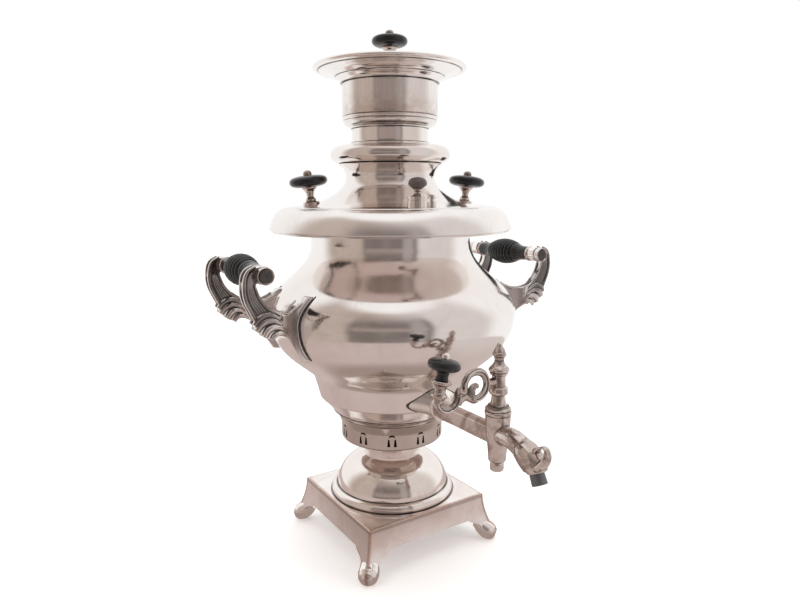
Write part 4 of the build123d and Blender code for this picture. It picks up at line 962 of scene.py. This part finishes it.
# the pieces turned about the plug's axis
plugSet = {
    "plugShank": {"body": "tap_key", "look": "plug", "solids": ["key_plug"], "steps": 72, "fine": 8, "edge": 0.15,
        "outline": route((0, 0.1), (9.7, 0.1), (9.8, 1.6), (130, 0.3, 8.1, 2.8, 90, 0.3), (8.1, 3.6),
        (190, 0.3, 5.4, 8.0, 96, 0.4), (90, 0.3, 5.0, 11.8, 96, 0.3), (10, 0.5, 7.3, 15.0, 90, 0.45),
        (90, 0.45, 5.4, 18.2, 178, 0.4), (5.25, 18.8), (5.25, 27), (0, 27), at=(0, 165.0))},
    "plugFinial": {"body": "tap_key", "look": "plug", "solids": ["key_finial"], "steps": 64, "fine": 8, "edge": 0.15,
        "outline": route((0, 0), (6.2, 0), (7.0, 0.9), (7.0, 1.6), (6.5, 2.2), (30, 0.4, 7.9, 3.8, 92, 0.4),
        (100, 0.3, 3.5, 11.2, 96, 0.5), (80, 0.3, 4.1, 13.2, 60, 0.3), (4.1, 13.9), (20, 0.4, 5.3, 15.5, 88, 0.4),
        (95, 0.3, 4.8, 16.9, 130, 0.3), (4.4, 17.2), (96, 0.4, 2.0, 22.6, 112, 0.4), (100, 0.4, 0, 24.1, 180, 0.4),
        at=(0, 192.1))},
    "plugNut": {"body": "tap_key", "look": "cast", "solids": ["plug_nut"], "steps": 48, "fine": 2, "edge": 0.25,
        "outline": route((0, 116.9), (4.4, 116.9), (5.1, 117.6), (5.25, 119.0), (5.25, 124.2), (0, 124.2))},
}
# the key's scroll: rings as (across, high, radius, first and last angle, parts), and bands through points
branchSet = {
    "high": 187.4, "wide": 6.0, "thick": 2.9, "ribs": (-2.1, 0.0, 2.1), "shankRadius": 5.32,
    "seat": (-56.2, 0, 180.6), "seatLean": 11.5,
    "eye": (-22.4, 187.4, 10.25, -100, 196, 12), "eyeRib": (-22.4, 187.4, 11.3, -95, 190, 12),
    "hook": (-47.6, 182.6, 9.0, 10, -170, 8), "hookRib": (-47.6, 182.6, 10.0, 8, -165, 8),
    "hookStart": (-36.4, 187.4), "hookEnd": (-56.2, 181.4),
    "curlIn": ((-18.6, 177.4), (-22.6, 177.6), (-25.6, 180.0), (-26.2, 183.4), (-24.2, 186.4), (-21.2, 186.8),
        (-19.8, 185.4)),
    "link": ((-19.0, 176.8), (-23.4, 176.2), (-27.6, 178.0), (-31.4, 179.8), (-34.6, 178.8), (-38.0, 176.4)),
    "tie": ((-31.6, 186.0), (-34.4, 184.6), (-37.4, 186.6)),
}
# the key's knob on its seat, which leans at the scroll's end
seatSet = {
    "keySeat": {"body": "tap_key", "look": "cast", "solids": ["key_seat"], "steps": 60, "fine": 6, "edge": 0.15,
        "outline": route((0, 0.2), (3.6, 0.2), (3.7, 2.4), (60, 0.4, 5.5, 4.4, 50, 0.4), (5.8, 5.0), (5.8, 6.2),
        (160, 0.3, 4.0, 9.4, 90, 0.4), (90, 0.4, 7.0, 13.9, 20, 0.4), (7.4, 14.5), (7.3, 15.3), (6.8, 16.0),
        (0, 16.0))},
    "keyKnob": {"body": "tap_key", "look": "black", "solids": ["key_knob"], "steps": 80, "fine": 8, "edge": 0.15,
        "outline": route((0, 0), (4.6, 0), (4.8, 0.8), (110, 0.3, 4.2, 3.6, 88, 0.3), (85, 0.4, 6.6, 6.7, 10, 0.4),
        (5, 0.3, 11.8, 10.9, 90, 0.4), (90, 0.4, 3.4, 15.7, 174, 0.42), (0, 15.5), at=(0, 16.1))},
    "keyKnobNut": {"body": "tap_key", "look": "bright", "solids": ["key_nut"], "steps": 48, "fine": 8, "edge": 0.1,
        "outline": nutOutline(2.9, 3.9, 31.9)},
}


def ringPoints(across, high, radius, first, last, parts):
    angles = [math.radians(first + (last - first) * part / parts) for part in range(parts + 1)]
    return [(across + radius * math.cos(angle), high + radius * math.sin(angle)) for angle in angles]


def makeKey(finish):
    about = shift(0, -tapSet["axis"], 0)
    for name, info in plugSet.items():
        makeTurned(finish, name, info, about)
    wide, thick, high = branchSet["wide"], branchSet["thick"], branchSet["high"]
    hook = [branchSet["hookStart"], *ringPoints(*branchSet["hook"]), branchSet["hookEnd"]]
    forms = [strip("eye", ringPoints(*branchSet["eye"]), wide, thick),
             strip("curlIn", branchSet["curlIn"], wide * 0.86, thick * 0.9, [0.8, 1.0, 1.3, 1.5, 1.2, 0.8, 0.45]),
             strip("link", branchSet["link"], wide * 0.8, thick * 0.8, [0.9, 1.0, 1.0, 1.0, 1.0, 1.1]),
             strip("hook", hook, wide, thick * 1.05, [0.8] + [1.0] * 8 + [1.3, 1.5]),
             strip("tie", branchSet["tie"], wide * 1.1, thick * 1.2)]
    for across in branchSet["ribs"]:
        for path in (ringPoints(*branchSet["eyeRib"]), ringPoints(*branchSet["hookRib"])):
            forms.append(bead("rib", [(x, across, z) for x, z in path], [1.0] * len(path), 0.75, 6))
    forms.append(bead("lug", [(-4.6, 0, high), (-8.0, 0, high), (-11.6, 0, high + 0.2)], [3.3, 3.0, 2.4], 1.0, 4))
    forms.append(bead("foot", [(-57.2, 0, 180.0), (-56.6, 0, 182.4)], [3.4, 3.6], 1.0, 4))
    scroll = castTogether("keyScroll", forms, 0.36, 2, 0.45)
    radius = branchSet["shankRadius"]
    cutWith(scroll, spun("hole", route((0, 170), (radius, 170), (radius, 200), (0, 200)), 48, 2), "DIFFERENCE")
    settle(scroll, "tap_key", finish["scroll"], ["key_branch"], about)
    lean = about @ shift(*branchSet["seat"]) @ turn(branchSet["seatLean"], "Y")
    for name, info in seatSet.items():
        makeTurned(finish, name, info, lean)


# the tap's flange on the vessel's side, as rings: distance from the axis, half width, half height and rise
flareSet = {
    "rings": ((60.0, 32.0, 13.6, 7.4), (64.0, 26.6, 13.4, 7.0), (66.0, 23.2, 13.2, 6.6), (68.0, 19.8, 13.1, 6.2),
        (70.0, 16.6, 13.0, 5.6), (72.0, 13.9, 12.9, 5.0), (73.6, 12.2, 12.7, 4.4), (75.0, 11.0, 12.3, 3.6),
        (75.9, 10.1, 11.7, 2.8), (76.2, 10.4, 12.0, 2.6), (77.0, 10.7, 12.1, 2.2), (79.0, 10.4, 11.9, 1.4),
        (79.8, 9.7, 11.4, 1.1), (79.9, 5.0, 8.4, 0.4)),
    # the edge values shape the painted shadow line round the flange's foot
    "wall": 1.6, "edgeWider": 0.45, "edgeThick": 0.25, "edgeLift": 1.0055,
}


def makeFlare(wider=0.0):
    rows = [(away, wide + wider, tall + wider, rise) for away, wide, tall, rise in flareSet["rings"]]
    clearChoice()
    bpy.ops.mesh.primitive_circle_add(vertices=96, radius=mm, location=(0, 0, 0), rotation=(math.radians(90), 0, 0))
    piece = bpy.context.object
    piece.name = piece.data.name = "tapEscutcheon"
    bpy.ops.object.transform_apply(location=True, rotation=True, scale=True)
    editAll(piece)
    middle = lambda away, rise: (0, -away * mm, (tapSet["pipe"] + rise) * mm)
    away, wide, tall, rise = rows[0]
    bpy.ops.transform.resize(value=(wide, 1, tall))
    bpy.ops.transform.translate(value=middle(away, rise))
    for (oldAway, oldWide, oldTall, oldRise), (away, wide, tall, rise) in zip(rows[:-1], rows[1:]):
        step = (0, (oldAway - away) * mm, (rise - oldRise) * mm)
        bpy.ops.mesh.extrude_region_move(TRANSFORM_OT_translate={"value": step})
        bpy.ops.transform.resize(value=(wide / oldWide, 1, tall / oldTall), center_override=middle(away, rise))
    turnOut(piece)
    addModifier(piece, "SOLIDIFY", thickness=flareSet["wall"] * mm, offset=-1.0)
    return piece


def makeEscutcheon(finish):
    # the flange ends on the vessel, and a thin black sheet round its foot is a painted shadow line
    edge = makeFlare(flareSet["edgeWider"])
    skin = spun("shadowSkin", vesselOutline[1:3], 128, 12, flareSet["edgeThick"])
    skin.data.transform(Matrix.Diagonal((flareSet["edgeLift"], flareSet["edgeLift"], 1, 1)))
    cutWith(edge, skin, "INTERSECT")
    edge.name = edge.data.name = "escutcheonShadowLine"
    settle(edge, "vessel", finish["sootAndShadow"])
    piece = makeFlare()
    inside = route((0, 120), (50, 120), (55.4, 127.4)) + vesselOutline[:3] + route((113.4, 219.5), (0, 219.5))
    cutWith(piece, spun("cutBody", inside, 128, 12), "DIFFERENCE")
    smoothBelow(piece, 38)
    settle(piece, "vessel", finish["trumpet"], ["tap_escutcheon"])


def makeTap(finish):
    makeCasting(finish)
    makeKey(finish)
    makeEscutcheon(finish)
    print("tap made")


# rounded paws, as a bar along the diagonal; "cut" is where the tray's own sheet ends
pawSet = {"cut": 8.8, "floor": 0.1, "wide": 1.08, "out": (82.0, 87.2, 92.2, 96.6, 99.8),
          "high": (16.0, 12.0, 8.2, 5.8, 4.4), "radii": (5.4, 7.7, 8.5, 7.6, 4.8)}


def makePaws(finish):
    tray = placeCopy(nodes["base_tray"], "baseTray")
    editAll(tray)
    bpy.ops.mesh.bisect(plane_co=(0, 0, pawSet["cut"] * mm), plane_no=(0, 0, 1), clear_inner=True)
    bpy.ops.object.mode_set(mode="OBJECT")
    settle(tray, "vessel", finish["worn"], ["base_tray"])
    points = [(out, 0, high) for out, high in zip(pawSet["out"], pawSet["high"])]
    paw = bead("paw", points, pawSet["radii"], 1.0, 10)
    paw.data.transform(Matrix.Diagonal((1, pawSet["wide"], 1, 1)))
    addModifier(paw, "REMESH", mode="VOXEL", voxel_size=0.5 * mm, adaptivity=0.0)
    addModifier(paw, "SMOOTH", factor=0.5, iterations=10)
    editAll(paw)
    bpy.ops.mesh.bisect(plane_co=(0, 0, pawSet["floor"] * mm), plane_no=(0, 0, 1), clear_inner=True, use_fill=True)
    bpy.ops.mesh.select_all(action="SELECT")
    bpy.ops.mesh.remove_doubles(threshold=0.06 * mm)
    bpy.ops.mesh.quads_convert_to_tris()
    bpy.ops.mesh.normals_make_consistent(inside=False)
    bpy.ops.object.mode_set(mode="OBJECT")
    smoothBelow(paw, 40)
    for corner, side in enumerate(("East", "North", "West", "South")):
        copy = placeCopy(paw, "paw" + side)
        copy.data.transform(turn(45 + 90 * corner, "Z"))
        settle(copy, "vessel", finish["worn"])
    bpy.data.objects.remove(paw)
    print("paws made")


def dressSolids(finish):
    # the solids that stay in view get their own finishes
    looks = {"cast": ["vent_seat", "vent_pin", "vent_cap", "handle_rod_left", "handle_rod_right"],
             "tinned": ["fire_tube", "lid_skirt", "lid_sleeve"], "sootAndShadow": ["grate"]}
    for look, names in looks.items():
        for name in names:
            for place in nodes[name].material_slots:
                place.material = finish[look]
    print("solids dressed")


setCamera()
setWorld()
setLamps()
setFloor()
setTable()
bpy.context.scene.view_settings.view_transform = "Standard"
# painted shade on the faces inside the key's two rings
scrollRingShade = ((-22.4, 187.4, 9.3), (-47.6, 182.6, 8.3))  # dark faces inside the key's two rings
finishes = {
    "polished": nickel("polishedNickel"),
    "warm": nickel("warmNickel", warmth=0.9, haze=0.12),
    "brim": nickel("brimNickel", shine=0.17, haze=0.12, warmth=0.5, tints=brimSet),
    "satin": satinNickel(),
    "agedAndShaded": nickel("agedShadedNickel", shine=0.10, haze=0.14, warmth=0.9, tints=agedShadedSet),
    "foot": nickel("footNickel", haze=0.07, warmth=0.8, tints=footSet),
    "cast": castNickel("castNickelPatina", patina=0.92),
    "scroll": castNickel("scrollNickelPatinaAndShade", patina=0.95, paintedShadeSpots=scrollRingShade),
    "plug": castNickel("plugNickelPatina", patina=0.92, lines=seamSet["tap"]),
    "arm": castNickel("armNickelPatinaAndPaintedLight", patina=0.9, clean=(0.86, 0.82, 0.795), dark=(0.085, 0.08, 0.077), armShadeAndHighlight=0.72),
    "bright": castNickel("brightCasting", patina=0.3, clean=(0.84, 0.80, 0.77)),
    "darkCast": castNickel("darkCasting", clean=(0.20, 0.18, 0.17), dark=(0.04, 0.038, 0.036)),
    "capFace": plainMetal("capFaceMetal", (0.055, 0.052, 0.05), (0.15, 0.14, 0.135), 0.30, 1.0, 300.0),
    "trumpet": nickel("trumpetNickel", shine=0.24, haze=0.12, warmth=0.5, tints=trumpetSet),
    "steamBrown": plainMetal("steamKnobBrown", (0.060, 0.050, 0.045), (0.16, 0.13, 0.115), 0.30, 0.35),
    "worn": wornNickel(),
    "black": blackWood(),
    "tinned": plainMetal("tinnedBrass", (0.58, 0.53, 0.43), (0.72, 0.67, 0.57), 0.28),
    # black for the sooted grate, also used for the painted shadow lines at the fans and round the tap's flange
    "sootAndShadow": plainMetal("sootedIronAndShadow", (0.03, 0.03, 0.03), (0.11, 0.10, 0.095), 0.55, 0.6),
    "nozzle": plainMetal("darkNozzleMetal", (0.13, 0.135, 0.145), (0.24, 0.24, 0.25), 0.36, 0.85, 160.0),
}
print("finishes ready")
makeShells(finishes)
makeVentRing(finishes)
makeKnobs(finishes)
makeHandles(finishes)
makeTap(finishes)
makePaws(finishes)
dressSolids(finishes)
